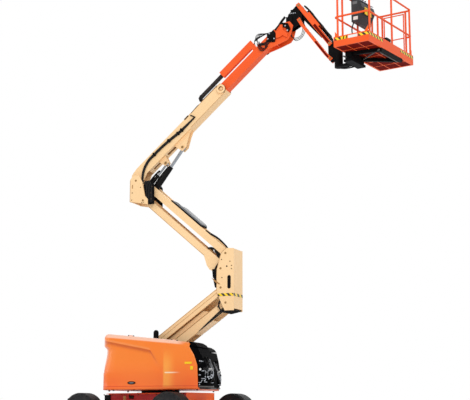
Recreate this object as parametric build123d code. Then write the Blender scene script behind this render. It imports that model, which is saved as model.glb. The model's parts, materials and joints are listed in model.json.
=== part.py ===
from build123d import *
from math import atan2, cos, degrees, hypot, radians, sin, tan
import os

# Articulating boom lift, millimetres, X forward, Y left, Z up, wheels on Z = 0.
# The chassis is square to the axes. Everything above the swing bearing is modelled
# along its own X axis, with the swing axis at X = Y = 0, and then swung.
SWING = 13.2                  # superstructure turned left of the chassis, degrees
SHIFT_X, SHIFT_Y = -1526, -421    # puts the footprint's centre at the origin

# chassis
WHEELBASE, TRACK = 2040, 2040
TYRE_R, TYRE_W, RIM_R = 420, 300, 215
FRAME_X0, FRAME_X1 = -900, 930
FRAME_HALF_W, FRAME_Z0, FRAME_Z1 = 450, 400, 840
FRAME_WALL = 14
AXLE_BOX = 120
KINGPIN_IN = 225              # kingpin inboard of the wheel's centre
KINGPIN_R = 24
STEER_ARM = 170
BEARING_R, BEARING_Z1 = 360, 890
TIE_BORE_R, LUG_R, LUG_T, LUG_Z, LUG_OUT = 20, 45, 24, 620, 55   # tie-down lugs beside the frame's ends

# turntable: flat sides, a flatly curved tail and rounded front corners
DECK_TOP = BEARING_Z1 + 30
SIDE_Y, TAIL_X, TAIL_CORNER_X, TAIL_FILLET = 1000, -1000, -680, 110
CORNER_X, FRONT_X, FRONT_Y, FRONT_BULGE = 1110, 1330, 600, 55
LEFT_SHORTER, STEP_Y = 400, 380       # the left half ends this much sooner, from a step beside the boom
DECK_INSET, MACHINE_INSET, WEIGHT_INSET = 25, 16, 95
HOOD_IN_Y, HOOD_WALL, HOOD_LIFT, HOOD_BAND = 400, 8, 6, 85
HOOD_TOP, HOOD_FALL = 1843, 6.5      # top over the swing axis, and its fall to the front in degrees
HINGE_Y, HINGE_UP, HINGE_R, HINGE_PIN_R, HINGE_L, HINGE_X = 383, 12, 14, 8, 80, 450
BULKHEAD_Y, BULKHEAD_T, BULKHEAD_TOP = 386, 8, 1640
EXHAUST_R, EXHAUST_X, EXHAUST_Y, EXHAUST_TOP = 50, 45, -330, 2010
MOUNT_Y0, MOUNT_Y1 = 212, 227
CLEVIS = 6                    # from a barrel's side to the plates of its clevis

# tower, side plates of uprights outermost, then links, then booms
PLATE_Y0, PLATE_Y1 = 220, 235
LINK_Y0, LINK_Y1 = 162, 205
UPPER_LINK_Y0, UPPER_LINK_Y1 = 126, 156
LOWER_HALF_W, UPPER_HALF_W = 150, 118
WALL = 12
TOWER_L = 2150
LOWER_A, UPPER_A = 35.75, -40.75
LINK_UP, LINK_OUT = 285, 98   # link pins from boom pins
B1 = (1410, 2490)             # lower boom's front pin, on the middle upright
B2 = (1310, 3135)             # upper boom's front pin
PIN_R, GAP = 25, 0.5
TOWER_BORE, TOWER_LIFT_EYE = 50, (1000, -60)
STUB_IN = 70                  # inner ends of the pins that a cylinder passes between
FOLD_S, KNEE_S, KNEE_N = 150, 205, -112   # fold cylinder's ends, back from the booms' front pins

# main boom
M = (-476, 4939)
MAIN_A = 41.8
BASE_L, BASE_HALF_W, BASE_LO, BASE_HI = 2500, 120, 0, 226
BASE_WALL = 10
FLY_HALF_W, FLY_LO, FLY_HI, FLY_WALL = 95, 26, 204, 8
FLY_S0, KNUCKLE_S, KNUCKLE_N = 1180, 4220, 20
MAIN_PIN_R = 35
LIFT_BASE, LIFT_EYE = (-270, 4620), (1106, -139)      # base pin, and the eye along and above the boom
LEVEL_BASE, LEVEL_EYE = (-360, 4760), (650, -118)

# jib
JIB_L, JIB_A = 1020, -54.0
K_UP, K_LOW = (203, 378), (208, 93)      # link pins from the knuckle pin
JIB_PIN_R = 20
JIB_LOW_Y0, JIB_LOW_Y1 = 84, 98
JIB_UP_Y0, JIB_UP_Y1 = 104, 122
ROTATOR_OUT, ROTATOR_R = 145, 80
ARM_Z0, ARM_Z1 = -184, -140   # platform arm, from the platform's underside

# platform
PLAT_W, PLAT_L = 720, 1830
PLAT_OUT, PLAT_LEFT = 613, 271    # platform centre from the rotator axis
FLOOR_DROP = 280              # platform underside below the upper link's pin
FLOOR_T, TOE_H, RAIL_MID, RAIL_TOP = 40, 150, 570, 1100
RAIL_R, POST_R, RAIL_BEND = 18, 19, 60
GATE_POST_REAR, GATE_POST_FRONT = 70, 110     # gate posts, in from the corners
GATE_R, GATE_GAP = 12, 12
SIDES = {1: "left", -1: "right"}

BOTTOM = (Align.CENTER, Align.CENTER, Align.MIN)


def along(p, angle, s, n=0.0):
    """The point s along and n above a line that leaves p at an angle in the XZ plane."""
    c, d = cos(radians(angle)), sin(radians(angle))
    return (p[0] + s * c - n * d, p[1] + s * d + n * c)


def slab(points, y0, y1):
    """An XZ outline with a thickness from y0 to y1."""
    face = Plane.XZ * Polygon(*points, align=None)
    return Pos(0, y0, 0) * extrude(face, amount=y1 - y0, dir=(0, 1, 0))


def slabs(points, y0, y1):
    return slab(points, y0, y1) + slab(points, -y1, -y0)


def plan(points, z0, z1):
    """An XY outline with a thickness from z0 to z1."""
    return Pos(0, 0, z0) * extrude(Polygon(*points, align=None), amount=z1 - z0)


def block(x0, x1, y0, y1, z0, z1):
    return Pos((x0 + x1) / 2, (y0 + y1) / 2, (z0 + z1) / 2) * Box(x1 - x0, y1 - y0, z1 - z0)


def cross(r, y0, y1, at=(0, 0)):
    """A cylinder along Y."""
    return Pos(at[0], (y0 + y1) / 2, at[1]) * Rot(90, 0, 0) * Cylinder(r, y1 - y0)


def tube(p, q, r, inner=0):
    """A round bar, or a pipe, from p to q."""
    a, b = Vector(*p), Vector(*q)
    plane = Plane(origin=a, z_dir=b - a)
    bar = plane * Cylinder(r, (b - a).length, align=BOTTOM)
    if inner:
        bar -= plane * Cylinder(inner, (b - a).length, align=BOTTOM)
    return bar


def turned(shape, at, angle):
    """Takes a piece drawn along X from its pin to that pin's place, raised by an angle."""
    return Pos(at[0], 0, at[1]) * Rot(0, -angle, 0) * shape


# pins that follow from the sizes above
A1 = along(B1, LOWER_A, -TOWER_L)             # lower boom's rear pin
A2 = along(B2, UPPER_A, -TOWER_L)             # upper boom's rear pin
L1, L1_FRONT = (A1[0] - LINK_OUT, A1[1] + LINK_UP), (B1[0] - LINK_OUT, B1[1] + LINK_UP)
L2, L2_FRONT = (A2[0] + LINK_OUT, A2[1] + LINK_UP), (B2[0] + LINK_OUT, B2[1] + LINK_UP)
TOWER_LIFT_BASE = (A1[0] + 250, A1[1] - 250)
FOLD_BASE = along(B1, LOWER_A, -FOLD_S, -20)
KNEE = along(B2, UPPER_A, -KNEE_S, KNEE_N)
J = along(M, MAIN_A, KNUCKLE_S, KNUCKLE_N)    # knuckle pin
K, K2 = (J[0] + K_UP[0], J[1] + K_UP[1]), (J[0] + K_LOW[0], J[1] + K_LOW[1])
JIB_LIFT_BASE = (K[0] + 10, K[1] - 150)
E, E2 = along(K, JIB_A, JIB_L), along(K2, JIB_A, JIB_L)
ROTATOR_X = E[0] + ROTATOR_OUT
UNDERSIDE = E[1] - FLOOR_DROP

nodes = {}


def chassis(name, shape):
    nodes[name] = Pos(SHIFT_X, SHIFT_Y, 0) * shape


def swung(name, shape):
    nodes[name] = Pos(SHIFT_X, SHIFT_Y, 0) * Rot(0, 0, SWING) * shape


# ---- chassis ----
def make_chassis():
    half = FRAME_HALF_W
    body = block(FRAME_X0, FRAME_X1, -half, half, FRAME_Z0, FRAME_Z1)
    body -= block(FRAME_X0 + FRAME_WALL, FRAME_X1 - FRAME_WALL, -half + FRAME_WALL, half - FRAME_WALL,
                  FRAME_Z0, FRAME_Z1 - FRAME_WALL)
    for x in (-WHEELBASE / 2, WHEELBASE / 2):
        side = 1 if x > 0 else -1
        end = FRAME_X1 if x > 0 else FRAME_X0
        nose = sorted((end, x + side * 110))
        body += block(nose[0], nose[1], -190, 190, 500, 640)
    for x in (FRAME_X1 - LUG_T / 2, FRAME_X0 + LUG_T / 2):
        for side in (-1, 1):
            y = side * (half + LUG_OUT)
            ear = sorted((side * (half - 5), y))
            at = Pos(x, y, LUG_Z) * Rot(0, 90, 0)
            body += at * Cylinder(LUG_R, LUG_T)
            body += block(x - LUG_T / 2, x + LUG_T / 2, *ear, LUG_Z - LUG_R, LUG_Z + LUG_R)
            body -= at * Cylinder(TIE_BORE_R, LUG_T)
    chassis("chassis_frame", body)
    ring = Pos(0, 0, FRAME_Z1) * Cylinder(BEARING_R, BEARING_Z1 - FRAME_Z1 - GAP, align=BOTTOM)
    ring -= Pos(0, 0, FRAME_Z1) * Cylinder(BEARING_R - 90, BEARING_Z1 - FRAME_Z1, align=BOTTOM)
    chassis("swing_bearing", ring)

    zc, hb = TYRE_R, AXLE_BOX / 2
    xf = WHEELBASE / 2
    kp_y = TRACK / 2 - KINGPIN_IN
    beam = block(xf - hb, xf + hb, -kp_y + 60, kp_y - 60, zc - hb, zc + hb)
    beam += block(xf - 90, xf + 90, -150, 150, zc, 500)
    for side in (-1, 1):
        boss = Pos(xf, side * kp_y, zc) * Cylinder(55, 150)
        boss += block(xf - 45, xf + 45, min(side * kp_y, side * (kp_y - 62)),
                      max(side * kp_y, side * (kp_y - 62)), zc - hb, zc + hb)
        beam += boss
        beam -= Pos(xf, side * kp_y, zc) * Cylinder(KINGPIN_R + GAP, 200)
    chassis("front_axle", beam)
    rear = block(-xf - 75, -xf + 75, -740, 740, zc - 75, zc + 75)
    rear += block(-xf - 90, -xf + 90, -150, 150, zc, 500)
    for side in (-1, 1):
        rear += tube((-xf, side * 740, zc), (-xf, side * (TRACK / 2 - 60), zc), 110)
    chassis("rear_axle", rear)

    for side, name in ((1, "left"), (-1, "right")):
        y = side * kp_y
        fork = Pos(xf, y, zc) * Cylinder(KINGPIN_R, 210)
        for z in (-1, 1):
            ear = Pos(xf, y, zc + z * 92) * Cylinder(50, 24)
            web = sorted((y, y + side * 95))
            ear += block(xf - 40, xf + 40, web[0], web[1], zc + z * 92 - 12, zc + z * 92 + 12)
            fork += ear
        web = sorted((y + side * 70, y + side * 95))
        fork += block(xf - 60, xf + 60, web[0], web[1], zc - 104, zc + 104)
        fork += tube((xf, y + side * 95, zc), (xf, side * (TRACK / 2 - 60), zc), 62)
        arm = sorted((y - 20, y + 20))
        fork += block(xf + 20, xf + STEER_ARM, arm[0], arm[1], zc + 80, zc + 104)
        fork += Pos(xf + STEER_ARM, y, zc + 92) * Cylinder(26, 24)
        chassis("knuckle_" + name, fork)
    rod_z = zc + 92 + 12 + 8 + 18
    rod = tube((xf + STEER_ARM, -kp_y, rod_z), (xf + STEER_ARM, kp_y, rod_z), 14)
    for side in (-1, 1):
        rod += Pos(xf + STEER_ARM, side * kp_y, rod_z) * Cylinder(30, 36)
    chassis("tie_rod", rod)

    wheels = (("front_left", 1, 1), ("front_right", 1, -1), ("rear_left", -1, 1), ("rear_right", -1, -1))
    shoulder = 30
    for name, fore, side in wheels:
        x, y = fore * WHEELBASE / 2, side * TRACK / 2
        at = Pos(x, y, TYRE_R) * Rot(90, 0, 0)
        tyre = Cylinder(TYRE_R, TYRE_W)
        tyre = chamfer(tyre.edges().filter_by(GeomType.CIRCLE), shoulder)
        tyre -= Cylinder(RIM_R, TYRE_W)
        chassis("tyre_" + name, at * tyre)
        rim = Cylinder(RIM_R, TYRE_W - 60) - Cylinder(RIM_R - 14, TYRE_W - 60)
        face = TRACK / 2 - 60
        disc_y = side * (face + 12 + GAP)
        rim_at = Pos(x, y, TYRE_R) * Rot(90, 0, 0) * rim
        disc = Pos(x, disc_y, TYRE_R) * Rot(90, 0, 0) * Cylinder(RIM_R - 6, 24)
        cap0, cap1 = sorted((side * (face + 24), side * (face + 110)))
        cap = cross(75, cap0, cap1)
        chassis("rim_" + name, rim_at + disc + Pos(x, 0, TYRE_R) * cap)


# ---- turntable ----
def outline(inset=0.0):
    """Plan of the turntable, shorter on its left half, moved inwards by an inset."""
    bulge = ((CORNER_X + FRONT_X) / 2 + FRONT_BULGE, (SIDE_Y + FRONT_Y) / 2 + FRONT_BULGE)
    left_corner, left_front = CORNER_X - LEFT_SHORTER, FRONT_X - LEFT_SHORTER
    edges = [Line((TAIL_CORNER_X, SIDE_Y), (left_corner, SIDE_Y)),
             ThreePointArc((left_corner, SIDE_Y), (bulge[0] - LEFT_SHORTER, bulge[1]), (left_front, FRONT_Y)),
             Line((left_front, FRONT_Y), (left_front, -STEP_Y)),
             Line((left_front, -STEP_Y), (FRONT_X, -STEP_Y)),
             Line((FRONT_X, -STEP_Y), (FRONT_X, -FRONT_Y)),
             ThreePointArc((FRONT_X, -FRONT_Y), (bulge[0], -bulge[1]), (CORNER_X, -SIDE_Y)),
             Line((CORNER_X, -SIDE_Y), (TAIL_CORNER_X, -SIDE_Y)),
             ThreePointArc((TAIL_CORNER_X, -SIDE_Y), (TAIL_X, 0), (TAIL_CORNER_X, SIDE_Y))]
    face = make_face(Curve() + edges)
    face = fillet([v for v in face.vertices() if v.X < TAIL_CORNER_X + 1], TAIL_FILLET)
    return offset(face, amount=-inset) if inset else face


def on_plan(z0, z1, inset=0.0):
    return Pos(0, 0, z0) * extrude(outline(inset), amount=z1 - z0)


def beside(side, y0, y1, x0=-1200, x1=1500, z0=0, z1=2400):
    """A block on one side of the machine, from y0 out to y1."""
    low, high = sorted((side * y0, side * y1))
    return block(x0, x1, low, high, z0, z1)


def hood_top(x):
    return HOOD_TOP - x * tan(radians(HOOD_FALL))


def shorter(side):
    return LEFT_SHORTER if side > 0 else 0


def hood_form(side, inset=0.0):
    """The solid a hood encloses. An inset moves its walls and top in, and its open sides out."""
    z0 = DECK_TOP + HOOD_LIFT - (1 if inset else 0)
    y_in = HOOD_IN_Y - (20 if inset else 0)
    out = 3 * inset
    form = on_plan(0, 2400, inset) & beside(side, y_in, SIDE_Y)
    cut = out - shorter(side)
    front = 985 + cut
    form &= slab([(-1200, z0), (1185 + cut, z0), (1165 + cut, 1313), (1105 + cut, 1491),
                  (front, hood_top(front) - inset), (-1200, hood_top(-1200) - inset)], -1200, 1200)
    rim = []
    for edge in form.edges():
        c = edge.center()
        if c.X < front - 20 and abs(c.Z - hood_top(c.X) + inset) < 3 and abs(c.Y - side * y_in) > 5:
            rim.append(edge)
    return chamfer(rim, HOOD_BAND - inset * (2 - 2 ** 0.5) * 0.7)


def on_hinge(side, shape):
    """Places a shape drawn about the X axis on a hood's hinge line, which falls with the hood's top."""
    return Pos(0, side * HINGE_Y, HOOD_TOP + HINGE_UP) * Rot(0, HOOD_FALL, 0) * shape


def lengthwise(r, x, length):
    return Pos(x, 0, 0) * Rot(0, 90, 0) * Cylinder(r, length)


def make_turntable():
    swung("turntable_deck", on_plan(BEARING_Z1, DECK_TOP, DECK_INSET))
    top = DECK_TOP
    mount = slabs([(-620, top), (700, top), (640, 985), (150, 1010), (-200, 1180), (-330, 1560),
                   (-370, 1590), (-490, 1590), (-560, 1500), (-620, 1200)], MOUNT_Y0, MOUNT_Y1)
    mount += block(-620, -600, -MOUNT_Y0, MOUNT_Y0, top, 1200)
    lug_y = TOWER_BORE + CLEVIS
    x, z = TOWER_LIFT_BASE
    mount += slabs([(x - 70, top), (x + 60, top), (x + 30, z + 30), (x - 30, z + 30)], lug_y, lug_y + 14)
    mount += block(x - 60, x + 60, -MOUNT_Y0, MOUNT_Y0, top, top + 8)
    mount += cross(PIN_R, -lug_y - 14, lug_y + 14, TOWER_LIFT_BASE)
    for pin in (A1, L1):
        mount += cross(PIN_R, -MOUNT_Y0, MOUNT_Y0, pin)
    swung("tower_mount", mount)

    inside = on_plan(top, 2400, MACHINE_INSET)
    swung("counterweight", on_plan(top, 1500, WEIGHT_INSET) & block(-1200, -640, -SIDE_Y, SIDE_Y, top, 1500))
    frame = None
    for side in (-1, 1):
        less = shorter(side)
        wall = beside(side, BULKHEAD_Y, BULKHEAD_Y + BULKHEAD_T, -600, 1140 - less, top, BULKHEAD_TOP)
        swung("machinery_end_" + SIDES[side], inside & beside(side, BULKHEAD_Y + 30, SIDE_Y) & slab(
            [(1015 - less, top), (1321 - less, top), (1330 - less, 1146), (1241 - less, 1417), (1160 - less, 1620),
             (1015 - less, 1640)], -1200, 1200))
        hood = hood_form(side) - hood_form(side, HOOD_WALL)
        for x in (-HINGE_X, HINGE_X):
            y0, y1 = sorted((0, side * 60))
            z0 = -HINGE_UP * cos(radians(HOOD_FALL)) - 4
            hood += on_hinge(side, block(x - HINGE_L / 2, x + HINGE_L / 2, y0, y1, z0, 0) +
                             lengthwise(HINGE_R, x, HINGE_L))
            hood -= on_hinge(side, lengthwise(HINGE_PIN_R + GAP, x, HINGE_L))
            wall += on_hinge(side, lengthwise(HINGE_PIN_R, x, HINGE_L + 40))
            y0, y1 = sorted((side * (HINGE_Y - HINGE_R), side * (HINGE_Y + 11)))
            for end in (-1, 1):
                hx = x + end * (HINGE_L / 2 + 15)
                top_z = HOOD_TOP + HINGE_UP - hx * tan(radians(HOOD_FALL))
                wall += block(hx - 5, hx + 5, y0, y1, BULKHEAD_TOP - 40, top_z + HINGE_R)
        frame = wall if frame is None else frame + wall
        swung("hood_" + SIDES[side], hood)
    swung("bulkheads", frame)
    swung("engine_block", block(-560, 900, -920, -440, top, 1420))
    swung("hydraulic_tank", block(-560, 600, 440, 920, top, 1380))
    pipe = Pos(EXHAUST_X, EXHAUST_Y, top) * Cylinder(EXHAUST_R, EXHAUST_TOP - EXHAUST_R - top, align=BOTTOM)
    pipe += Pos(EXHAUST_X, EXHAUST_Y, EXHAUST_TOP - EXHAUST_R) * Sphere(EXHAUST_R)
    swung("exhaust", pipe)


# ---- tower ----
def make_tower():
    length, w = TOWER_L, WALL

    lo, hi, half = -92, 84, LOWER_HALF_W
    boom = slabs([(-60, -55), (60, lo), (length - 120, lo), (length + 55, -55), (length + 55, 55),
                  (length - 60, hi), (60, hi), (-60, 55)], half - w, half)
    boom += block(120, length - 330, -half, half, hi - w, hi)
    boom += block(1300, length - 420, -half, half, lo, lo + w)
    boom += slabs([(360, hi), (length - 380, hi), (length - 480, 185), (440, 185)], 104, 116)
    boom += block(440, length - 480, -116, 116, 173, 185)
    boom += cross(44, -half, half)
    for y0, y1 in ((-half, -half + 50), (half - 50, half)):
        boom += cross(44, y0, y1, (length, 0))
    boom += slabs([(940, hi), (1060, hi), (1045, -100), (955, -100)], 45, 60)
    for s in (0, length):
        boom -= cross(PIN_R + GAP, -half, half, (s, 0))
    boom += slabs([(length - 260, lo + 20), (length - 110, lo + 20), (length - 110, 30),
                   (length - 260, 30)], 48, 60)
    boom += cross(PIN_R - 5, -half + w, half - w, (length - FOLD_S, -20))
    swung("lower_tower_boom", turned(boom, A1, LOWER_A))

    link = slabs([(-45, -45), (60, -100), (length - 60, -100), (length + 45, -45), (length + 45, 40),
                  (-45, 40)], LINK_Y0, LINK_Y1)
    for s in (0, length):
        link -= cross(PIN_R + GAP, -LINK_Y1, LINK_Y1, (s, 0))
    link += block(200, length - 320, -LINK_Y1, LINK_Y1, 30, 40)
    swung("lower_tower_link", turned(link, L1, LOWER_A))

    side = [(1395, 2345), (1575, 2345), (1575, 3505), (1425, 3515), (1320, 3425), (1270, 3280),
            (1237, 3130), (1225, 2710), (1270, 2620), (1320, 2495)]
    upright = slabs(side, PLATE_Y0, PLATE_Y1)
    upright += block(1560, 1575, -PLATE_Y1, PLATE_Y1, 2380, 3500)
    slot = slabs([(1460, 2760), (1505, 2760), (1505, 2995), (1460, 2995)], PLATE_Y0 - 1, PLATE_Y1 + 1)
    upright -= slot
    for p in (B2, L2_FRONT):
        upright += cross(PIN_R, -PLATE_Y0, PLATE_Y0, p)
    for p in (B1, L1_FRONT):
        upright += cross(PIN_R, -PLATE_Y0, -STUB_IN, p) + cross(PIN_R, STUB_IN, PLATE_Y0, p)
    swung("mid_upright", upright)

    lo, hi, half = -46, 102, UPPER_HALF_W
    knee = length - KNEE_S
    boom = slabs([(-60, -45), (60, lo), (length - 470, lo), (length - 300, -150), (length - 210, -175),
                  (length - 150, -160), (length + 55, -55), (length + 55, 60), (length - 80, hi),
                  (60, hi), (-60, 60)], half - w, half)
    boom += block(140, length - 480, -half, half, lo, lo + w)
    for s in (0, length):
        boom += cross(44, -half, half, (s, 0))
        boom -= cross(PIN_R + GAP, -half, half, (s, 0))
    boom += slabs([(knee - 45, KNEE_N - 40), (knee + 45, KNEE_N - 40), (knee + 45, 40), (knee - 45, 40)],
                  48, 60)
    boom += block(knee - 45, knee + 45, -half, half, 28, 40)
    swung("upper_tower_boom", turned(boom, A2, UPPER_A))

    link = slabs([(-45, -45), (60, -78), (length - 60, -78), (length + 45, -45), (length + 45, 45),
                  (length - 60, 60), (60, 60), (-45, 45)], UPPER_LINK_Y0, UPPER_LINK_Y1)
    for s in (0, length):
        link -= cross(PIN_R + GAP, -UPPER_LINK_Y1, UPPER_LINK_Y1, (s, 0))
    swung("upper_tower_link", turned(link, L2, UPPER_A))

    outer = [(-600, 4520), (-600, 4960), (-540, 5040), (-410, 5040), (-330, 4890), (-272, 4620),
             (-215, 4560), (-215, 4450)]
    upright = slabs(outer, PLATE_Y0, PLATE_Y1)
    upright += block(-600, -585, -PLATE_Y0, PLATE_Y0, 4525, 4770)
    upright += slabs([(-600, 4700), (-600, 4770), (-500, 4800), (-330, 4880), (-170, 4880),
                      (-170, 4770), (-330, 4712)], UPPER_LINK_Y1 + 6, UPPER_LINK_Y1 + 20)
    upright += slabs([(-590, 4610), (-590, 4765), (-400, 4815), (-330, 4800), (-320, 4740),
                      (-235, 4660), (-235, 4592), (-400, 4592)], 56, 70)
    upright += cross(PIN_R, -PLATE_Y0, PLATE_Y0, A2)
    upright += cross(MAIN_PIN_R, -PLATE_Y0, PLATE_Y0, M)
    for side in (-1, 1):
        y0, y1 = sorted((side * UPPER_LINK_Y0, side * (UPPER_LINK_Y1 + 20)))
        upright += cross(PIN_R, y0, y1, L2)
    upright += cross(PIN_R, -70, 70, LIFT_BASE)
    upright += cross(PIN_R - 5, -70, 70, LEVEL_BASE)
    swung("upper_upright", upright)


def cylinder(name, base, eye, bore_r, rod_r, base_pin, eye_out, barrel_l, piston_s):
    """A hydraulic cylinder: a barrel with its eye on the base pin, and a rod with the far eye."""
    angle = degrees(atan2(eye[1] - base[1], eye[0] - base[0]))
    length = hypot(eye[0] - base[0], eye[1] - base[1])
    eye_r = base_pin + 18
    half = min(bore_r, 38)
    wall = 8
    barrel = cross(eye_r, -half, half) + Pos(eye_r - 8, 0, 0) * Rot(0, 90, 0) * Cylinder(
        bore_r, barrel_l - eye_r + 8, align=BOTTOM)
    barrel -= Pos(eye_r + 10, 0, 0) * Rot(0, 90, 0) * Cylinder(bore_r - wall, barrel_l, align=BOTTOM)
    barrel += Pos(barrel_l - 28, 0, 0) * Rot(0, 90, 0) * Cylinder(bore_r, 28, align=BOTTOM)
    barrel -= Pos(barrel_l - 60, 0, 0) * Rot(0, 90, 0) * Cylinder(rod_r + GAP, 80, align=BOTTOM)
    barrel -= cross(base_pin + GAP, -half, half)
    swung(name + "_barrel", turned(barrel, base, angle))
    rod = Pos(piston_s, 0, 0) * Rot(0, 90, 0) * Cylinder(rod_r, length - piston_s, align=BOTTOM)
    rod += cross(eye_out, -half, half, (length, 0))
    rod += Pos(piston_s, 0, 0) * Rot(0, 90, 0) * Cylinder(bore_r - wall - GAP, 18, align=BOTTOM)
    swung(name + "_rod", turned(rod, base, angle))


# ---- main boom ----
def make_main():
    half, w = BASE_HALF_W, BASE_WALL
    rear = [(-95, -50), (-95, 90), (-20, 195), (60, 210), (150, BASE_HI), (330, BASE_HI), (330, BASE_LO),
            (240, BASE_LO), (110, -60)]
    body = slab(rear, -half, half) - slab([(-200, -100), (-200, 60), (100, 150), (330, 150), (330, -100)],
                                          -half + 20, half - 20)
    box = block(300, BASE_L, -half, half, BASE_LO, BASE_HI)
    box -= block(300, BASE_L, -half + w, half - w, BASE_LO + w, BASE_HI - w)
    body += box
    body += cross(60, -PLATE_Y0 + 6, PLATE_Y0 - 6)
    body -= cross(MAIN_PIN_R + GAP, -PLATE_Y0, PLATE_Y0)
    pad = block(BASE_L - 120, BASE_L, -half + w, half - w, BASE_LO + w, BASE_HI - w)
    pad -= block(BASE_L - 120, BASE_L, -FLY_HALF_W - GAP, FLY_HALF_W + GAP, FLY_LO - GAP, FLY_HI + GAP)
    body += pad
    body += slabs([(1000, BASE_LO), (1050, -190), (1160, -190), (1330, -80), (1480, BASE_LO)], 56, 70)
    body += slabs([(560, BASE_LO), (600, -145), (700, -145), (740, BASE_LO)], 38, 50)
    body += cross(45, -78, -56, LIFT_EYE) + cross(45, 56, 78, LIFT_EYE)
    body -= block(780, 1250, -50, 50, BASE_LO, BASE_LO + w) + block(380, 740, -36, 36, BASE_LO, BASE_LO + w)
    ring = cross(85, -half - 55, -half, (2445, 100)) - cross(52, -half - 55, -half - 12, (2445, 100))
    body += ring
    swung("main_boom_base", turned(body, M, MAIN_A))

    fh, w = FLY_HALF_W, FLY_WALL
    tube_end = KNUCKLE_S - 250
    fly = block(FLY_S0, tube_end, -fh, fh, FLY_LO, FLY_HI)
    fly -= block(FLY_S0, tube_end, -fh + w, fh - w, FLY_LO + w, FLY_HI - w)
    js, jn = KNUCKLE_S, KNUCKLE_N
    nose = [(3560, FLY_LO), (3800, -85), (4020, -170), (4110, -150), (js + 60, jn - 60), (js + 70, jn + 50),
            (js - 40, jn + 130), (4060, 160), (3900, 120), (3560, FLY_HI)]
    fly += slabs(nose, fh, fh + 14)
    fly += block(3800, 3812, -fh, fh, -80, 110)
    fly += cross(JIB_PIN_R + 5, -fh - 14, fh + 14, (js, jn))
    pipe = block(2630, 3500, -75, -5, 270, 410) - block(2630, 3480, -69, -11, 276, 404)
    pipe += block(3400, 3500, -75, 0, FLY_HI, 272)
    fly += pipe
    swung("fly_boom", turned(fly, M, MAIN_A))

    chain = block(2040, 2600, 8, 70, 345, 405) + block(2040, 2380, 8, 70, 241, 301)
    bend = Pos(2040, 39, 323) * Rot(90, 0, 0) * (Cylinder(82, 62) - Cylinder(22, 62))
    bend &= block(1900, 2040, 0, 80, 200, 420)
    swung("energy_chain", turned(chain + bend, M, MAIN_A))


# ---- jib ----
def make_jib():
    x, z = J
    fh = FLY_HALF_W
    knuckle = slabs([(x - 60, z - 55), (x + 60, z - 60), (K2[0] + 45, K2[1] - 45), (K2[0] + 50, K2[1] + 60),
                     (K[0] + 45, K[1] + 10), (K[0] + 10, K[1] + 45), (K[0] - 60, K[1] + 20),
                     (x - 20, z + 230), (x - 60, z + 60)], 62, 80)
    knuckle += cross(50, -fh + GAP, fh - GAP, J)
    knuckle -= cross(JIB_PIN_R + 5 + GAP, -fh, fh, J)
    knuckle += block(x - 10, x + 120, -62, 62, z + 120, z + 150)
    for y0, y1 in ((-JIB_UP_Y1 - 4, -62), (62, JIB_UP_Y1 + 4)):
        knuckle += cross(JIB_PIN_R, y0, y1, K)
    knuckle += cross(JIB_PIN_R, -JIB_LOW_Y1 - 2, JIB_LOW_Y1 + 2, K2)
    knuckle += cross(JIB_PIN_R, -80, 80, JIB_LIFT_BASE)
    swung("jib_knuckle", knuckle)

    n = 40
    upper = slabs([(-45, -n), (JIB_L + 40, -n), (JIB_L + 40, n), (-45, n)], JIB_UP_Y0, JIB_UP_Y1)
    lower = slabs([(-40, -36), (120, -50), (JIB_L - 120, -50), (JIB_L + 40, -36), (JIB_L + 40, 36),
                   (JIB_L - 120, 8), (120, 8), (-40, 36)], JIB_LOW_Y0, JIB_LOW_Y1)
    for s in (0, JIB_L):
        upper -= cross(JIB_PIN_R + GAP, -JIB_UP_Y1, JIB_UP_Y1, (s, 0))
        lower -= cross(JIB_PIN_R + GAP, -JIB_LOW_Y1, JIB_LOW_Y1, (s, 0))
    upper += slabs([(250, n), (600, n), (600, 78), (250, 78)], JIB_UP_Y0, JIB_UP_Y1)
    upper += slab([(250, 66), (600, 66), (600, 78), (250, 78)], -JIB_UP_Y1, JIB_UP_Y1)
    lower += slab([(300, -50), (700, -50), (700, -38), (300, -38)], -JIB_LOW_Y1, JIB_LOW_Y1)
    swung("jib_upper_link", turned(upper, K, JIB_A))
    swung("jib_lower_link", turned(lower, K2, JIB_A))
    tray = block(90, JIB_L - 70, JIB_UP_Y1 + GAP, JIB_UP_Y1 + 46, -8, 42)
    swung("jib_hose_tray", turned(tray, K, JIB_A))

    ax, bottom = ROTATOR_X, UNDERSIDE + ARM_Z1 + GAP
    head = Pos(ax, 0, bottom) * Cylinder(ROTATOR_R, E[1] - 10 - bottom, align=BOTTOM)
    head += slabs([(E[0] - 38, E[1] - 30), (E[0] - 30, E[1] + 36), (ax, E[1] + 36), (ax, E2[1] - 36),
                   (E2[0] - 30, E2[1] - 36), (E2[0] - 38, E2[1])], 50, 76)
    for y0, y1 in ((-JIB_UP_Y1 - 4, -50), (50, JIB_UP_Y1 + 4)):
        head += cross(JIB_PIN_R, y0, y1, E)
    head += cross(JIB_PIN_R, -JIB_LOW_Y1 - 2, JIB_LOW_Y1 + 2, E2)
    swung("rotator_head", head)


# ---- platform, square to its own rotator arm ----
def bend(x, y, z, quarter):
    """A quarter of a bent rail about a point, with 0 for the quarter towards +X and +Y."""
    ring = Torus(RAIL_BEND, RAIL_R)
    size = RAIL_BEND + RAIL_R
    return Pos(x, y, z) * Rot(0, 0, 90 * quarter) * (ring & block(0, size, 0, size, -RAIL_R, RAIL_R))


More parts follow.
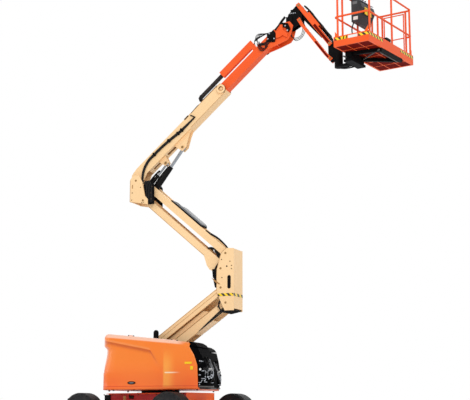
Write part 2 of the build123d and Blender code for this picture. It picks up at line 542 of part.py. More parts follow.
def make_platform():
    # The origin is on the rotator axis, at the floor's underside.
    at = Pos(ROTATOR_X, 0, UNDERSIDE) * Rot(0, 0, -SWING)
    x0, x1 = PLAT_OUT - PLAT_W / 2, PLAT_OUT + PLAT_W / 2
    h = PLAT_L / 2
    arm = Pos(0, 0, ARM_Z0) * Cylinder(ROTATOR_R, ARM_Z1 - ARM_Z0, align=BOTTOM)
    arm += block(0, x0 + 10, -65, 65, ARM_Z0, ARM_Z1)
    arm += block(x0, x0 + 170, PLAT_LEFT - 540, PLAT_LEFT, ARM_Z0, ARM_Z1)
    arm += block(x0 + 20, x0 + 150, PLAT_LEFT - 520, PLAT_LEFT - 20, ARM_Z1, -GAP)
    hub = ((x0 + 85, PLAT_LEFT - 480), (x0 + 85, PLAT_LEFT - 60))
    outer = ((x1 - 35, PLAT_LEFT - 380), (x1 - 25, PLAT_LEFT + 415))
    for (px, py), (qx, qy) in ((hub[0], outer[0]), (hub[1], outer[1]), outer, (hub[0], hub[1])):
        run = hypot(qx - px, qy - py)
        turn = degrees(atan2(qy - py, qx - px))
        arm += Pos(px, py, 0) * Rot(0, 0, turn) * block(-20, run + 20, -28, 28, -64, -GAP)
    swung("platform_support", at * arm)

    floor = block(x0, x1, -h, h, 0, FLOOR_T) - block(x0 + 30, x1 - 30, -h + 30, h - 30, 0, FLOOR_T - 6)
    for i in range(1, 6):
        y = -h + i * PLAT_L / 6
        floor += block(x0 + 20, x1 - 20, y - 6, y + 6, 0, FLOOR_T - 2)
    for x in (PLAT_OUT - PLAT_W / 6, PLAT_OUT + PLAT_W / 6):
        floor += block(x - 6, x + 6, -h + 20, h - 20, 0, FLOOR_T - 2)
    board = block(x0, x1, -h, h, FLOOR_T, FLOOR_T + TOE_H)
    board -= block(x0 + 6, x1 - 6, -h + 6, h - 6, FLOOR_T, FLOOR_T + TOE_H)
    board -= block(x0 + GATE_POST_REAR, x1 - GATE_POST_FRONT, h - 7, h + 1, FLOOR_T, FLOOR_T + TOE_H)
    at = at * Pos(0, PLAT_LEFT, 0)
    swung("platform_floor", at * (floor + board))

    zr = FLOOR_T + TOE_H + GAP
    xs0, xs1, y0, y1 = x0 + POST_R, x1 - POST_R, -h + POST_R, h - POST_R
    b, r = RAIL_BEND, RAIL_R
    gate_posts = ((xs0 + GATE_POST_REAR, y1), (xs1 - GATE_POST_FRONT, y1))
    rails = tube((xs0 + b, y0, zr), (xs0 + b, y0, RAIL_TOP), POST_R)
    for px, py in ((xs1, y0 + b), (xs1, 60), (xs1, y1 - b), (xs0, y1 - b), (xs0, 0), (xs0, 600),
                   (xs0, -600), *gate_posts):
        rails += tube((px, py, zr), (px, py, RAIL_TOP), POST_R)
    for z in (RAIL_MID, RAIL_TOP):
        rails += tube((xs0, y0 + b, z), (xs0, y1 - b, z), r)
        rails += tube((xs1, y0 + b, z), (xs1, y1 - b, z), r)
        rails += tube((xs0 + b, y0, z), (xs1 - b, y0, z), r)
        for x, y, quarter in ((xs1 - b, y1 - b, 0), (xs0 + b, y1 - b, 1), (xs0 + b, y0 + b, 2),
                              (xs1 - b, y0 + b, 3)):
            rails += bend(x, y, z, quarter)
    rails += tube((xs0 + b, y1, RAIL_TOP), (xs1 - b, y1, RAIL_TOP), r)
    rails += tube((xs0 + b, y1, RAIL_MID), (gate_posts[0][0], y1, RAIL_MID), r)
    rails += tube((gate_posts[1][0], y1, RAIL_MID), (xs1 - b, y1, RAIL_MID), r)
    swung("platform_rails", at * rails)

    g0, g1 = gate_posts[0][0] + POST_R + GATE_GAP, gate_posts[1][0] - POST_R - GATE_GAP
    gz0, gz1 = zr + 20, RAIL_TOP - RAIL_R - 20
    gate = tube((g0 + GATE_R, y1, gz0), (g0 + GATE_R, y1, gz1), GATE_R)
    gate += tube((g1 - GATE_R, y1, gz0), (g1 - GATE_R, y1, gz1), GATE_R)
    for z in (gz0 + GATE_R, RAIL_MID, gz1 - GATE_R):
        gate += tube((g0 + GATE_R, y1, z), (g1 - GATE_R, y1, z), GATE_R - 1)
    swung("platform_gate", at * gate)

    side = [(xs0 + 40, 640), (xs0 + 130, 640), (xs0 + 265, 900), (xs0 + 235, 1010), (xs0 + 40, 1130)]
    panel = slab(side, -320, 220)
    for y in (-250, 150):
        panel += block(xs0 + POST_R + GAP, xs0 + 50, y - 20, y + 20, 700, 1060)
    swung("control_console", at * panel)


def main():
    make_chassis()
    make_turntable()
    make_tower()
    make_main()
    make_jib()
    make_platform()
    tower_eye = along(A1, LOWER_A, *TOWER_LIFT_EYE)
    cylinder("tower_lift", TOWER_LIFT_BASE, tower_eye, TOWER_BORE, 30, PIN_R, 38, 640, 300)
    cylinder("tower_fold", FOLD_BASE, KNEE, 40, 24, PIN_R - 5, 34, 540, 295)
    cylinder("main_lift", LIFT_BASE, along(M, MAIN_A, *LIFT_EYE), 50, 30, PIN_R, 34, 740, 315)
    cylinder("level", LEVEL_BASE, along(M, MAIN_A, *LEVEL_EYE), 32, 20, PIN_R - 5, 26, 400, 205)
    cylinder("jib_lift", JIB_LIFT_BASE, E, 34, 20, JIB_PIN_R, 20, 650, 85)
    os.makedirs("parts", exist_ok=True)
    for name, shape in nodes.items():
        export_step(shape, "parts/" + name + ".step")
    print(len(nodes), "nodes")


main()
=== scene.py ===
"""Articulating boom lift: the finish, trim, hoses and studio around its packed frame."""

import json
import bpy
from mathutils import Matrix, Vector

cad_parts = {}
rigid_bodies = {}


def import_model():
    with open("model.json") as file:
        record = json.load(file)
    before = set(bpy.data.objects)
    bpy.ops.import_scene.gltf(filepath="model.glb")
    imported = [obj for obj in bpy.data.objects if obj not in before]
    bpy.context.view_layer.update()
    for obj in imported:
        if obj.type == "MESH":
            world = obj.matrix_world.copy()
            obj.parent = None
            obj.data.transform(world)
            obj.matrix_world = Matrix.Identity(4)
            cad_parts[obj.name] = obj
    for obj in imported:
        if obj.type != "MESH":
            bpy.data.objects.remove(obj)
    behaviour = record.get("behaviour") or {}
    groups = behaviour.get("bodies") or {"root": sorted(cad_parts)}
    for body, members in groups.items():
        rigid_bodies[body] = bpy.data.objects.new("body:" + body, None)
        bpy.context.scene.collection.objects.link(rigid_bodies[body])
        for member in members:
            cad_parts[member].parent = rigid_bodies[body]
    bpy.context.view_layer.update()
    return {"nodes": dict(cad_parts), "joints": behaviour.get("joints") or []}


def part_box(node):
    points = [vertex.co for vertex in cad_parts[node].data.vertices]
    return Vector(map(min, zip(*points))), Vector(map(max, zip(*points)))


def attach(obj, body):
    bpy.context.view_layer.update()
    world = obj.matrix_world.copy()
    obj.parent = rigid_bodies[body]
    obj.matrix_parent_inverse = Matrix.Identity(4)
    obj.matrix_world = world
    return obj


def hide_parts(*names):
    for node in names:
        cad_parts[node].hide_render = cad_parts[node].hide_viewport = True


bl_info = {
    "name": "Articulating boom lift",
    "version": (1, 0, 0),
    "blender": (4, 5, 0),
    "location": "3D View > Sidebar > Boom lift",
    "description": "Builds the finish, trim and studio of an articulating boom lift",
    "category": "Add Mesh",
}

from functools import partialmethod
from math import atan2, cos, hypot, pi, radians, sin

import bmesh
import bpy
from mathutils import Matrix, Vector

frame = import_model()
JOINTS = {joint["name"]: joint for joint in frame["joints"]}
MM = 0.001
LOOSE = 6.0  # bolts and pins stop at any turn, in radians
GRIME = "#5b4a3a"
REPEATER = "Set out a shape"
FLOOR_HALF = 90.0


# ---- places, taken from the joints of the packed frame ----
def pin(name):
    return Vector(JOINTS[name]["pos_m"])


def rise(start, end):
    """How steeply the line from one pin to another climbs."""
    line = pin(end) - pin(start)
    return atan2(line.z, line.xy.length)


SWING_AXIS = pin("swing")
_out = Vector(JOINTS["telescope"]["axis"])
SWING = atan2(_out.y, _out.x)
MAIN_ANGLE = atan2(_out.z, hypot(_out.x, _out.y))
LOWER_ANGLE = rise("tower_raise", "mid_upright_hinge")
UPPER_ANGLE = -rise("upper_boom_hinge", "upper_upright_hinge")
JIB_ANGLE = rise("jib_raise", "jib_head_hinge")


def place(origin, pitch=0.0, turn=SWING):
    """Maps millimetres along a boom, to its left and above it, to the row frame in metres."""
    return (Matrix.Translation(origin) @ Matrix.Rotation(turn, 4, "Z")
            @ Matrix.Rotation(-pitch, 4, "Y") @ Matrix.Scale(MM, 4))


AXIS_FOOT = Vector((SWING_AXIS.x, SWING_AXIS.y, 0.0))
CHASSIS = place(AXIS_FOOT, turn=0.0)
UPPER = place(AXIS_FOOT)  # everything that swings, drawn upright
LOWER_BOOM = place(pin("tower_raise"), LOWER_ANGLE)
LOWER_LINK = place(pin("lower_link_hinge"), LOWER_ANGLE)
UPPER_BOOM = place(pin("upper_upright_hinge"), UPPER_ANGLE)
MAIN_BOOM = place(pin("main_boom_lift"), MAIN_ANGLE)
JIB_UP = place(pin("jib_raise"), JIB_ANGLE)
JIB_LOW = place(pin("jib_lower_hinge"), JIB_ANGLE)
PLATFORM = place(pin("platform_rotate"), turn=0.0)


def flat(point):
    """A pin's place in the upright frame of everything that swings, as (x, z) in millimetres."""
    local = UPPER.inverted() @ point
    return local.x, local.z


# ---- node trees ----
class Value:
    """A socket inside a node tree, with arithmetic."""

    def __init__(self, graph, socket):
        self.graph, self.socket = graph, socket

    def math(self, operation, *others):
        return self.graph.node("ShaderNodeMath", dict(enumerate((self, *others))), operation=operation)

    __add__ = __radd__ = partialmethod(math, "ADD")
    __mul__ = __rmul__ = partialmethod(math, "MULTIPLY")
    __sub__ = partialmethod(math, "SUBTRACT")
    __truediv__ = partialmethod(math, "DIVIDE")
    __abs__ = partialmethod(math, "ABSOLUTE")
    over = partialmethod(math, "GREATER_THAN")
    under = partialmethod(math, "LESS_THAN")

    def fade(self, low, high):
        """0 at low, 1 at high, smooth between."""
        return self.graph.node("ShaderNodeMapRange", {0: self, 1: low, 2: high, 3: 0.0, 4: 1.0},
                               interpolation_type="SMOOTHSTEP")

    def band(self, start, full, still, end):
        """1 from full to still, fading to 0 at start and at end."""
        return self.fade(start, full) * (self * -1.0).fade(-end, -still)


class Graph:
    """A shader or geometry node tree under construction."""

    def __init__(self, tree):
        self.tree = tree

    def node(self, kind, inputs=None, out=0, **settings):
        made = self.tree.nodes.new(kind)
        for key, value in settings.items():
            setattr(made, key, value)
        for key, value in (inputs or {}).items():
            self.feed(made.inputs[key], value)
        return Value(self, made.outputs[out])

    def feed(self, socket, value):
        """Gives a socket a link, a number or a colour; a colour may be a web colour."""
        if isinstance(value, Value):
            self.tree.links.new(value.socket, socket)
        elif isinstance(value, bpy.types.NodeSocket):
            self.tree.links.new(value, socket)
        elif socket.type == "RGBA":
            socket.default_value = (*(tone(value) if isinstance(value, str) else value), 1.0)
        else:
            socket.default_value = value


def tone(text):
    """A linear colour from a web colour."""
    parts = [int(text[i:i + 2], 16) / 255 for i in (1, 3, 5)]
    return tuple(c / 12.92 if c <= 0.04045 else ((c + 0.055) / 1.055) ** 2.4 for c in parts)


class Finish(Graph):
    """A material: colour, roughness and bump worked out from the piece's own coordinates."""

    def __init__(self, name, metallic=0.0, coat=0.0, specular=0.5):
        self.material = bpy.data.materials.new(name)
        self.material.use_nodes = True
        super().__init__(self.material.node_tree)
        self.tree.nodes.clear()
        self.shader = self.tree.nodes.new("ShaderNodeBsdfPrincipled")
        for label, value in (("Metallic", metallic), ("Coat Weight", coat), ("Coat Roughness", 0.12),
                             ("Specular IOR Level", specular)):
            self.shader.inputs[label].default_value = value
        self.feed(self.tree.nodes.new("ShaderNodeOutputMaterial").inputs[0], self.shader.outputs[0])
        self.here = self.node("ShaderNodeTexCoord", out=3)

    def split(self, vector, count):
        return [self.node("ShaderNodeSeparateXYZ", {0: vector}, i) for i in range(count)]

    def local(self, matrix):
        """Coordinates in millimetres in a place's own frame, as three values."""
        back = matrix.inverted()
        return self.split(self.node("ShaderNodeMapping", {
            0: self.here, 1: back.to_translation(), 2: back.to_euler(), 3: back.to_scale()}), 3)

    def noise(self, scale, detail=3.0, roughness=0.55):
        return self.node("ShaderNodeTexNoise", {
            "Vector": self.here, "Scale": scale, "Detail": detail, "Roughness": roughness})

    def mix(self, factor, a, b):
        return self.node("ShaderNodeMix", {0: factor, 6: a, 7: b}, 2, data_type="RGBA")

    def done(self, color, roughness, height=None, distance=0.0, strength=0.0):
        """The material, with a bump where a height is given."""
        self.feed(self.shader.inputs["Base Color"], color)
        self.feed(self.shader.inputs["Roughness"], roughness)
        if height is not None:
            self.feed(self.shader.inputs["Normal"], self.node("ShaderNodeBump", {
                "Height": height, "Distance": distance, "Strength": strength}))
        return self.material


def paint(name, color, shade, roughness, coat, dust=0.08):
    """Sprayed enamel on plate: orange peel, slow drift of tone, grime that gathers in patches."""
    f = Finish(name, coat=coat, specular=0.16)
    drift = f.noise(1.3, 2.0)
    grime = f.noise(9.0, 5.0, 0.65).fade(0.56, 0.78) * dust
    base = f.mix(drift.fade(0.3, 0.7) * 0.55, color, shade)
    base = f.mix(grime, base, GRIME)
    rough = f.noise(14.0, 3.0) * 0.16 + (roughness - 0.08) + grime * 0.6
    return f.done(base, rough, f.noise(420.0, 2.0), 0.0004, 0.35)


def hood_paint(name, upper, lower, ends=None):
    """Gel-coat: warm at the skirt, shaded under the brow, pale where the roof and corner catch the light."""
    f = Finish(name, coat=0.15, specular=0.25)
    x, _, z = f.local(UPPER)
    # painted light: the side runs from the darker, warmer skirt colour up to the lighter upper colour
    base = f.mix(z.fade(930.0, 1500.0), lower, upper)
    base = f.mix(f.noise(1.1, 2.0).fade(0.35, 0.7) * 0.25, base, "#f08a38")
    below = x * -BROW_FALL + 1645.3 - z  # down from the brow line
    inside = z * -PANEL_LEAN + 1308.7 - x  # back from the panel's front corner
    # painted shade under the brow and down the panel's front corner
    shade = below.band(-4.0, 8.0, 12.0, 96.0) * inside.fade(-8.0, 12.0)
    turn = inside.band(-6.0, 8.0, 8.0, 60.0) * below.fade(0.0, 20.0) * z.fade(1330.0, 1500.0)
    # painted highlights: the brow's lit edge, the front corner, a short flash low on the side, and the roof
    lit = (below * -1.0).fade(0.0, 10.0) * below.fade(-52.0, -12.0) * inside.fade(-30.0, 10.0)
    corner = x.band(492.0, 528.0, 560.0, 770.0) * z.band(905.0, 960.0, 1290.0, 1680.0)
    flash = z.band(1170.0, 1184.0, 1190.0, 1206.0) * x.band(520.0, 560.0, 620.0, 860.0)
    over = (z + x * RIDGE_FALL - 1765.0).fade(0.0, 28.0) * x.band(-780.0, -620.0, 740.0, 930.0)
    # a thin red line of painted shadow low on the side
    line = z.over(944.0) * z.under(952.0)
    grime = f.noise(8.0, 5.0, 0.65).fade(0.6, 0.8)
    # lays each painted shade and highlight over the colour, then the grime patches
    for mask, share, patch in ((shade, 0.55, "#b8400f"), (turn, 0.4, "#b8400f"), (lit, 0.4, "#fba566"),
                               (corner, 0.6, "#f9ae4a"), (flash, 0.85, "#fdeccb"), (over, 0.72, "#fbd3bb"),
                               (line, 0.8, "#c8281a"), (grime, 0.05, GRIME)):
        base = f.mix(mask * share, base, patch)
    if ends is not None:
        base = f.mix(x.over(ends), base, "#0b0b0c")
    return f.done(base, f.noise(12.0, 3.0) * 0.14 + 0.24, f.noise(260.0, 2.0), 0.0002, 0.3)


def frame_paint(name, bright, shaded, half):
    """Chassis enamel: the long side walls stay in deep shade under the deck, and mud gathers low down."""
    f = Finish(name, coat=0.1, specular=0.3)
    x, y, z = f.local(CHASSIS)
    side = abs(y).over(half)
    base = f.mix(side, bright, shaded)
    mud = f.noise(6.0, 5.0, 0.65).fade(0.5, 0.75) * z.fade(640.0, 420.0) * 0.5
    base = f.mix(mud, base, "#6b5a48")
    rough = f.noise(14.0, 3.0) * 0.18 + 0.34 + mud * 0.4
    return f.done(base, rough, f.noise(380.0, 2.0), 0.0004, 0.35)


def steel_black(name, color, roughness=0.5, grease=0.3, shine=0.12):
    """Black fittings: satin paint with greasy, dusty patches."""
    f = Finish(name, specular=shine)
    patch = f.noise(16.0, 4.0, 0.6).fade(0.5, 0.72)
    base = f.mix(patch * grease, color, "#2a2825")
    rough = f.noise(30.0, 3.0) * 0.25 + (roughness - 0.12)
    return f.done(base, rough, f.noise(160.0, 3.0), 0.0006, 0.4)


def moulded(name, color, roughness=0.5):
    """Moulded plastic with a fine leather grain."""
    f = Finish(name)
    grain = f.node("ShaderNodeTexVoronoi", {"Vector": f.here, "Scale": 700.0})
    base = f.mix(f.noise(5.0, 3.0).fade(0.35, 0.75) * 0.35, color, "#4a4d50")
    return f.done(base, f.noise(40.0) * 0.15 + roughness - 0.07, grain, 0.0003, 0.35)


def chrome(name):
    """Hard chrome rod, ground across its length, with a thin oily film in places."""
    f = Finish(name, metallic=1.0)
    film = f.noise(20.0, 4.0).fade(0.5, 0.75)
    base = f.mix(film * 0.35, "#9ca0a5", "#5c5d5f")
    return f.done(base, film * 0.18 + 0.1, f.noise(900.0, 2.0), 0.0001, 0.25)


def rubber(name, color, dusty):
    f = Finish(name, specular=0.3)
    dust = f.noise(7.0, 5.0, 0.7).fade(0.42, 0.78)
    base = f.mix(dust * 0.55, color, dusty)
    return f.done(base, f.noise(25.0) * 0.2 + 0.62, f.noise(220.0, 4.0), 0.0008, 0.5)


def striped(name, first, second, pitch):
    """Diagonal safety tape, from the strip's own UV map in metres."""
    f = Finish(name, coat=0.15)
    u, v = f.split(f.node("ShaderNodeUVMap", uv_map="run"), 2)
    band = (u / pitch + v * (1.0 / pitch)).math("FRACT").over(0.5)
    scuff = f.noise(60.0, 4.0).fade(0.62, 0.75) * 0.35
    base = f.mix(band, first, second)
    base = f.mix(scuff, base, "#6a6358")
    return f.done(base, f.noise(50.0) * 0.2 + 0.3, f.noise(300.0), 0.0003, 0.3)


# ---- shapes ----
def circle(count, radius=1.0):
    """Points spaced evenly round a circle."""
    return [(radius * cos(2 * pi * k / count), radius * sin(2 * pi * k / count)) for k in range(count)]


class Maker:
    """Collects shapes drawn in a place's own millimetres into one piece."""

    def __init__(self, at):
        self.at, self.bm, self.finishes = at, bmesh.new(), []
        self.run = self.bm.loops.layers.uv.new("run")

    def _paint(self, faces, finish, smooth=False):
        if finish not in self.finishes:
            self.finishes.append(finish)
        for face in faces:
            face.material_index = self.finishes.index(finish)
            face.smooth = smooth

    def _rings(self, rings, finish, smooth=False, closed=False, caps=True):
        """Joins rings of points into a skin."""
        rows = [[self.bm.verts.new(p) for p in ring] for ring in rings]
        count, faces = len(rows[0]), []
        for i in range(len(rows) if closed else len(rows) - 1):
            a, b = rows[i], rows[(i + 1) % len(rows)]
            for k in range(count):
                ahead = (k + 1) % count
                faces.append(self.bm.faces.new((a[k], a[ahead], b[ahead], b[k])))
        self._paint(faces, finish, smooth)
        if caps and not closed:
            ends = [self.bm.faces.new(rows[0][::-1]), self.bm.faces.new(rows[-1])]
            self._paint(ends, finish)
            faces += ends
        bmesh.ops.recalc_face_normals(self.bm, faces=faces)
        return faces

    def slab(self, outline, y0, y1, finish, bevel=0.0):
        """A plate cut to an outline of (along, above), from y0 to y1."""
        faces = self._rings([[Vector((x, y, z)) for x, z in outline] for y in (y0, y1)], finish)
        self._soften(faces, bevel, finish)

    def block(self, x0, x1, y0, y1, z0, z1, finish, bevel=0.0):
        self.slab([(x0, z0), (x1, z0), (x1, z1), (x0, z1)], y0, y1, finish, bevel)

    def _soften(self, faces, bevel, finish):
        if bevel:
            edges = {e for f in faces for e in f.edges if e.calc_face_angle(0.0) > 0.5}
            made = bmesh.ops.bevel(self.bm, geom=list(edges), offset=bevel, segments=2, affect="EDGES",
                                   profile=0.7)["faces"]
            self._paint(made, finish, True)

    def rod(self, a, b, radius, finish, sides=24, tip=0.0):
        """A round bar from a to b, its ends softened by tip."""
        a, b = Vector(a), Vector(b)
        axis = (b - a).normalized()
        across = axis.orthogonal().normalized()
        up = axis.cross(across)
        stations = ((0.0, radius, 0.0), (0.0, radius, 1.0))
        if tip:
            stations = ((0.0, radius - tip, 0.0), (tip, radius, 0.0),
                        (-tip, radius, 1.0), (0.0, radius - tip, 1.0))
        turns = [across * c + up * s for c, s in circle(sides)]
        self._rings([[a + (b - a) * t + axis * shift + out * r for out in turns] for shift, r, t in stations],
                    finish, smooth=True)

    def ring(self, centre, axis, radius, thick, width, finish, sides=40, start=0.0, turn=360.0):
        """A flat band bent round an axis: a collar, a clip or a part of one."""
        axis = Vector(axis).normalized()
        across = Vector((1, 0, 0)) if abs(axis.x) < 0.9 else Vector((0, 1, 0))
        across = (across - axis * across.dot(axis)).normalized()
        up = axis.cross(across)
        whole = turn >= 360.0
        half, outer = width / 2, radius + thick
        section = ((radius, -half), (outer, -half), (outer, half), (radius, half))
        rings = []
        for k in range(sides if whole else sides + 1):
            a = radians(start + turn * k / sides)
            out = across * cos(a) + up * sin(a)
            rings.append([Vector(centre) + out * r + axis * w for r, w in section])
        self._rings(rings, finish, closed=whole)

    def hose(self, points, radius, finish="hose", sides=8, steps=6):
        """A hose or cable through points, held tangent at both ends."""
        points = [Vector(p) for p in points]
        padded = [points[0] * 2 - points[1], *points, points[-1] * 2 - points[-2]]
        path = []
        for i in range(1, len(padded) - 2):
            p0, p1, p2, p3 = padded[i - 1:i + 3]
            for k in range(steps):
                t = k / steps
                path.append(0.5 * ((2 * p1) + (p2 - p0) * t + (2 * p0 - 5 * p1 + 4 * p2 - p3) * t * t
                                   + (3 * p1 - p0 - 3 * p2 + p3) * t * t * t))
        path.append(points[-1])
        across, rings = None, []
        for i, p in enumerate(path):
            ahead = (path[min(i + 1, len(path) - 1)] - path[max(i - 1, 0)]).normalized()
            across = ahead.orthogonal().normalized() if across is None else (
                across - ahead * across.dot(ahead)).normalized()
            up = ahead.cross(across)
            rings.append([p + (across * c + up * s) * radius for c, s in circle(sides)])
        self._rings(rings, finish, smooth=True)

    def lay(self, y, path, radius):
        """A hose that keeps to one plane, through points (along, above)."""
        self.hose([(x, y, z) for x, z in path], radius)

    def strip(self, a, b, c, d, thick, finish):
        """A thin decal or plate on four corners; its run map measures along a to b and a to d."""
        a, b, c, d = (Vector(p) for p in (a, b, c, d))
        out = (b - a).cross(d - a).normalized() * thick
        corners = [self.bm.verts.new(p) for p in (a, b, c, d, a + out, b + out, c + out, d + out)]
        faces = [self.bm.faces.new([corners[i] for i in quad]) for quad in (
            (4, 5, 6, 7), (3, 2, 1, 0), (0, 1, 5, 4), (1, 2, 6, 5), (2, 3, 7, 6), (3, 0, 4, 7))]
        self._paint(faces, finish)
        along, up = (b - a).normalized(), (d - a).normalized()
        for face in faces:
            for loop in face.loops:
                step = loop.vert.co - a
                loop[self.run].uv = (step.dot(along) * MM, step.dot(up) * MM)

    def mesh(self, name):
        bmesh.ops.transform(self.bm, matrix=self.at, verts=self.bm.verts)
        mesh = bpy.data.meshes.new(name)
        self.bm.to_mesh(mesh)
        self.bm.free()
        return mesh

    def make(self, name, body, replaces=()):
        mesh = self.mesh(name)
        for finish in self.finishes:
            mesh.materials.append(FINISH[finish])
        settle(name, mesh, body, replaces)


def add(name, data):
    """Puts an object in the scene, at the origin."""
    obj = bpy.data.objects.new(name, data)
    bpy.context.scene.collection.objects.link(obj)
    return obj


def settle(name, mesh, body, replaces=()):
    """Puts a finished mesh in the scene on its CAD body."""
    obj = add(name, mesh)
    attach(obj, body)
    if replaces:
        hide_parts(*replaces)


# ---- repeats, laid out by a geometry node tree ----
def repeat_tree():
    """Sets a shape on every point, standing along the point's out direction and facing its run."""
    tree = bpy.data.node_groups.new(REPEATER, "GeometryNodeTree")
    for name, kind in (("Points", "Geometry"), ("Shape", "Object"), ("Finish", "Material"), ("Size", "Float"),
                       ("Loose turn", "Float")):
        tree.interface.new_socket(name, in_out="INPUT", socket_type="NodeSocket" + kind)
    tree.interface.new_socket("Piece", in_out="OUTPUT", socket_type="NodeSocketGeometry")
    g = Graph(tree)
    given = tree.nodes.new("NodeGroupInput").outputs
    out, along = (g.node("GeometryNodeInputNamedAttribute", {"Name": name}, data_type="FLOAT_VECTOR")
                  for name in ("out", "along"))
    turn = g.node("FunctionNodeAxesToRotation", {0: out, 1: along}, primary_axis="Z", secondary_axis="X")
    shape = g.node("GeometryNodeObjectInfo", {"Object": given["Shape"]}, 4, transform_space="ORIGINAL")
    loose = g.node("FunctionNodeRandomValue", {2: 0.0, 3: given["Loose turn"], "Seed": 7}, 1)
    spin = g.node("ShaderNodeCombineXYZ", {2: loose})
    laid = g.node("GeometryNodeInstanceOnPoints", {
        "Points": given["Points"], "Instance": shape, "Rotation": turn, "Scale": given["Size"]})
    laid = g.node("GeometryNodeRotateInstances", {"Instances": laid, "Rotation": spin})
    laid = g.node("GeometryNodeRealizeInstances", {"Geometry": laid})
    laid = g.node("GeometryNodeSetMaterial", {"Geometry": laid, "Material": given["Finish"]})
    g.feed(tree.nodes.new("NodeGroupOutput").inputs["Piece"], laid)
    return tree


def repeat(name, body, at, spots, shape, finish, size=1.0, loose=0.0):
    """A piece made of one shape at many (point, out, along) spots, drawn in a place's millimetres."""
    finish = FINISH[finish]
    mesh = bpy.data.meshes.new(name + "_spots")
    mesh.from_pydata([at @ Vector(p) for p, _, _ in spots], [], [])
    turn = at.to_3x3().normalized()
    for label, index in (("out", 1), ("along", 2)):
        layer = mesh.attributes.new(label, "FLOAT_VECTOR", "POINT")
        for i, spot in enumerate(spots):
            layer.data[i].vector = turn @ Vector(spot[index])
    holder = add(name + "_spots", mesh)
    tree = bpy.data.node_groups.get(REPEATER) or repeat_tree()
    modifier = holder.modifiers.new("repeat", "NODES")
    modifier.node_group = tree
    given = {"Shape": pattern(shape), "Finish": finish, "Size": size, "Loose turn": loose}
    for item in tree.interface.items_tree:
        if item.item_type == "SOCKET" and item.in_out == "INPUT" and item.name in given:
            modifier[item.identifier] = given[item.name]
    graph = bpy.context.evaluated_depsgraph_get()
    graph.update()
    solid = bpy.data.meshes.new_from_object(holder.evaluated_get(graph), depsgraph=graph)
    holder.modifiers.remove(modifier)
    bpy.data.objects.remove(holder)
    bpy.data.meshes.remove(mesh)
    if not solid.polygons:
        raise RuntimeError("the repeat " + name + " came out empty")
    solid.materials.clear()
    solid.materials.append(finish)
    solid.name = name
    settle(name, solid, body)


def pattern(build):
    """A small shape to repeat, in metres, standing on z = 0; it is taken away when the scene is done."""
    name = build.__name__
    found = bpy.data.objects.get("pattern_" + name)
    if found:
        return found
    m = Maker(Matrix.Scale(MM, 4))
    build(m)
    return add("pattern_" + name, m.mesh("pattern_" + name))


def hex_bolt(m):
    m.rod((0, 0, -1), (0, 0, 2.5), 13, "bolt", sides=16)
    m.rod((0, 0, 2.5), (0, 0, 10), 9.5, "bolt", sides=6, tip=1.0)


def pin_cap(m):
    m.rod((0, 0, -1), (0, 0, 5), 30, "pin", sides=24, tip=1.5)
    m.rod((0, 0, 5), (0, 0, 13), 14, "bolt", sides=6, tip=1.2)


def tread_lug(m):
    """One bar of a cleated tyre, running slantwise from the middle to the shoulder."""
    m.slab([(-17, -14), (17, -14), (14, 13), (-14, 13)], 4, 78, "tyre")
    m.slab([(-17, -14), (17, -14), (14, 9), (-14, 9)], 78, 150, "tyre")
    for v in m.bm.verts:
        v.co.x += v.co.y * 0.34
        if v.co.y > 100:
            v.co.z -= 10


def chain_link(m):
    m.block(-36, 36, -34, 34, -3, 3, "chain")
    for y in (-38, 34):
        m.slab([(-40, -27), (40, -27), (47, 0), (40, 27), (-40, 27), (-33, 0)], y, y + 4, "chain")
        m.rod((36, y - 1, 0), (36, y + 5, 0), 9, "bolt", sides=10)


FINISH = {}


# ---- moulded hoods ----
SKIRT, HOOD_FRONT, HOOD_SIDE = 892, 1185, 1000  # the skirt's height, the reach forward, half the width
LEFT_SHORTER = 400  # the left hood stops this much further back
BROW_FALL, PANEL_LEAN = 0.1985, 0.67  # slopes of the swept panel's upper and front edges
RIDGE_FALL = 0.104  # how fast the upper shoulder drops towards the front
ROOF_FALL = 0.1139  # how fast the roof drops towards the front
HINGE_Y = 398  # the hinge line, out from the middle
HOOD_HEIGHTS = (  # shares of the side's height, closer together at the creases
    0.0, 0.02, 0.07, 0.078, 0.088, 0.15, 0.22, 0.29, 0.315, 0.326, 0.335, 0.37, 0.405, 0.42, 0.435, 0.45,
    0.5, 0.55, 0.6, 0.64, 0.68, 0.72, 0.75, 0.78, 0.81, 0.84, 0.87, 0.9, 0.93, 0.96, 0.985, 1.0)


def ease(value, low, high):
    t = min(max((value - low) / (high - low), 0.0), 1.0)
    return t * t * (3 - 2 * t)


def bend(a, b, c, t):
    """A plan point on the curve from a to c that b draws towards itself."""
    return tuple((1 - t) ** 2 * p + 2 * t * (1 - t) * q + t * t * r for p, q, r in zip(a, b, c))


def ridge(x):
    """Height of the hood's upper shoulder."""
    return 1836 - RIDGE_FALL * (x + 680)


def front_edge(z):
    """How far forward a hood reaches at a height."""
    cut = ((SKIRT, HOOD_FRONT), (1313, 1165), (1491, 1105), (1646, 1010), (1760, 985))
    for (z0, x0), (z1, x1) in zip(cut, cut[1:]):
        if z <= z1:
            return x0 + (x1 - x0) * max(z - z0, 0) / (z1 - z0)
    return cut[-1][1]


def hood_stations():
    """Plan points of the right hand hood from its rear inner corner to its front edge."""
    tail = [-400 - 460 * k / 6 for k in range(7)]
    points = [(722.5 - (1722.5 ** 2 - y * y) ** 0.5, y) for y in tail]  # the bowed tail
    start = -590  # where the straight side begins
    points += [bend(points[6], (-712, -HOOD_SIDE), (start, -HOOD_SIDE), k / 8) for k in range(1, 9)]
    steps = int((HOOD_FRONT - start) / 34)
    return points + [(start + (HOOD_FRONT - start) * k / steps, -HOOD_SIDE) for k in range(1, steps + 1)]


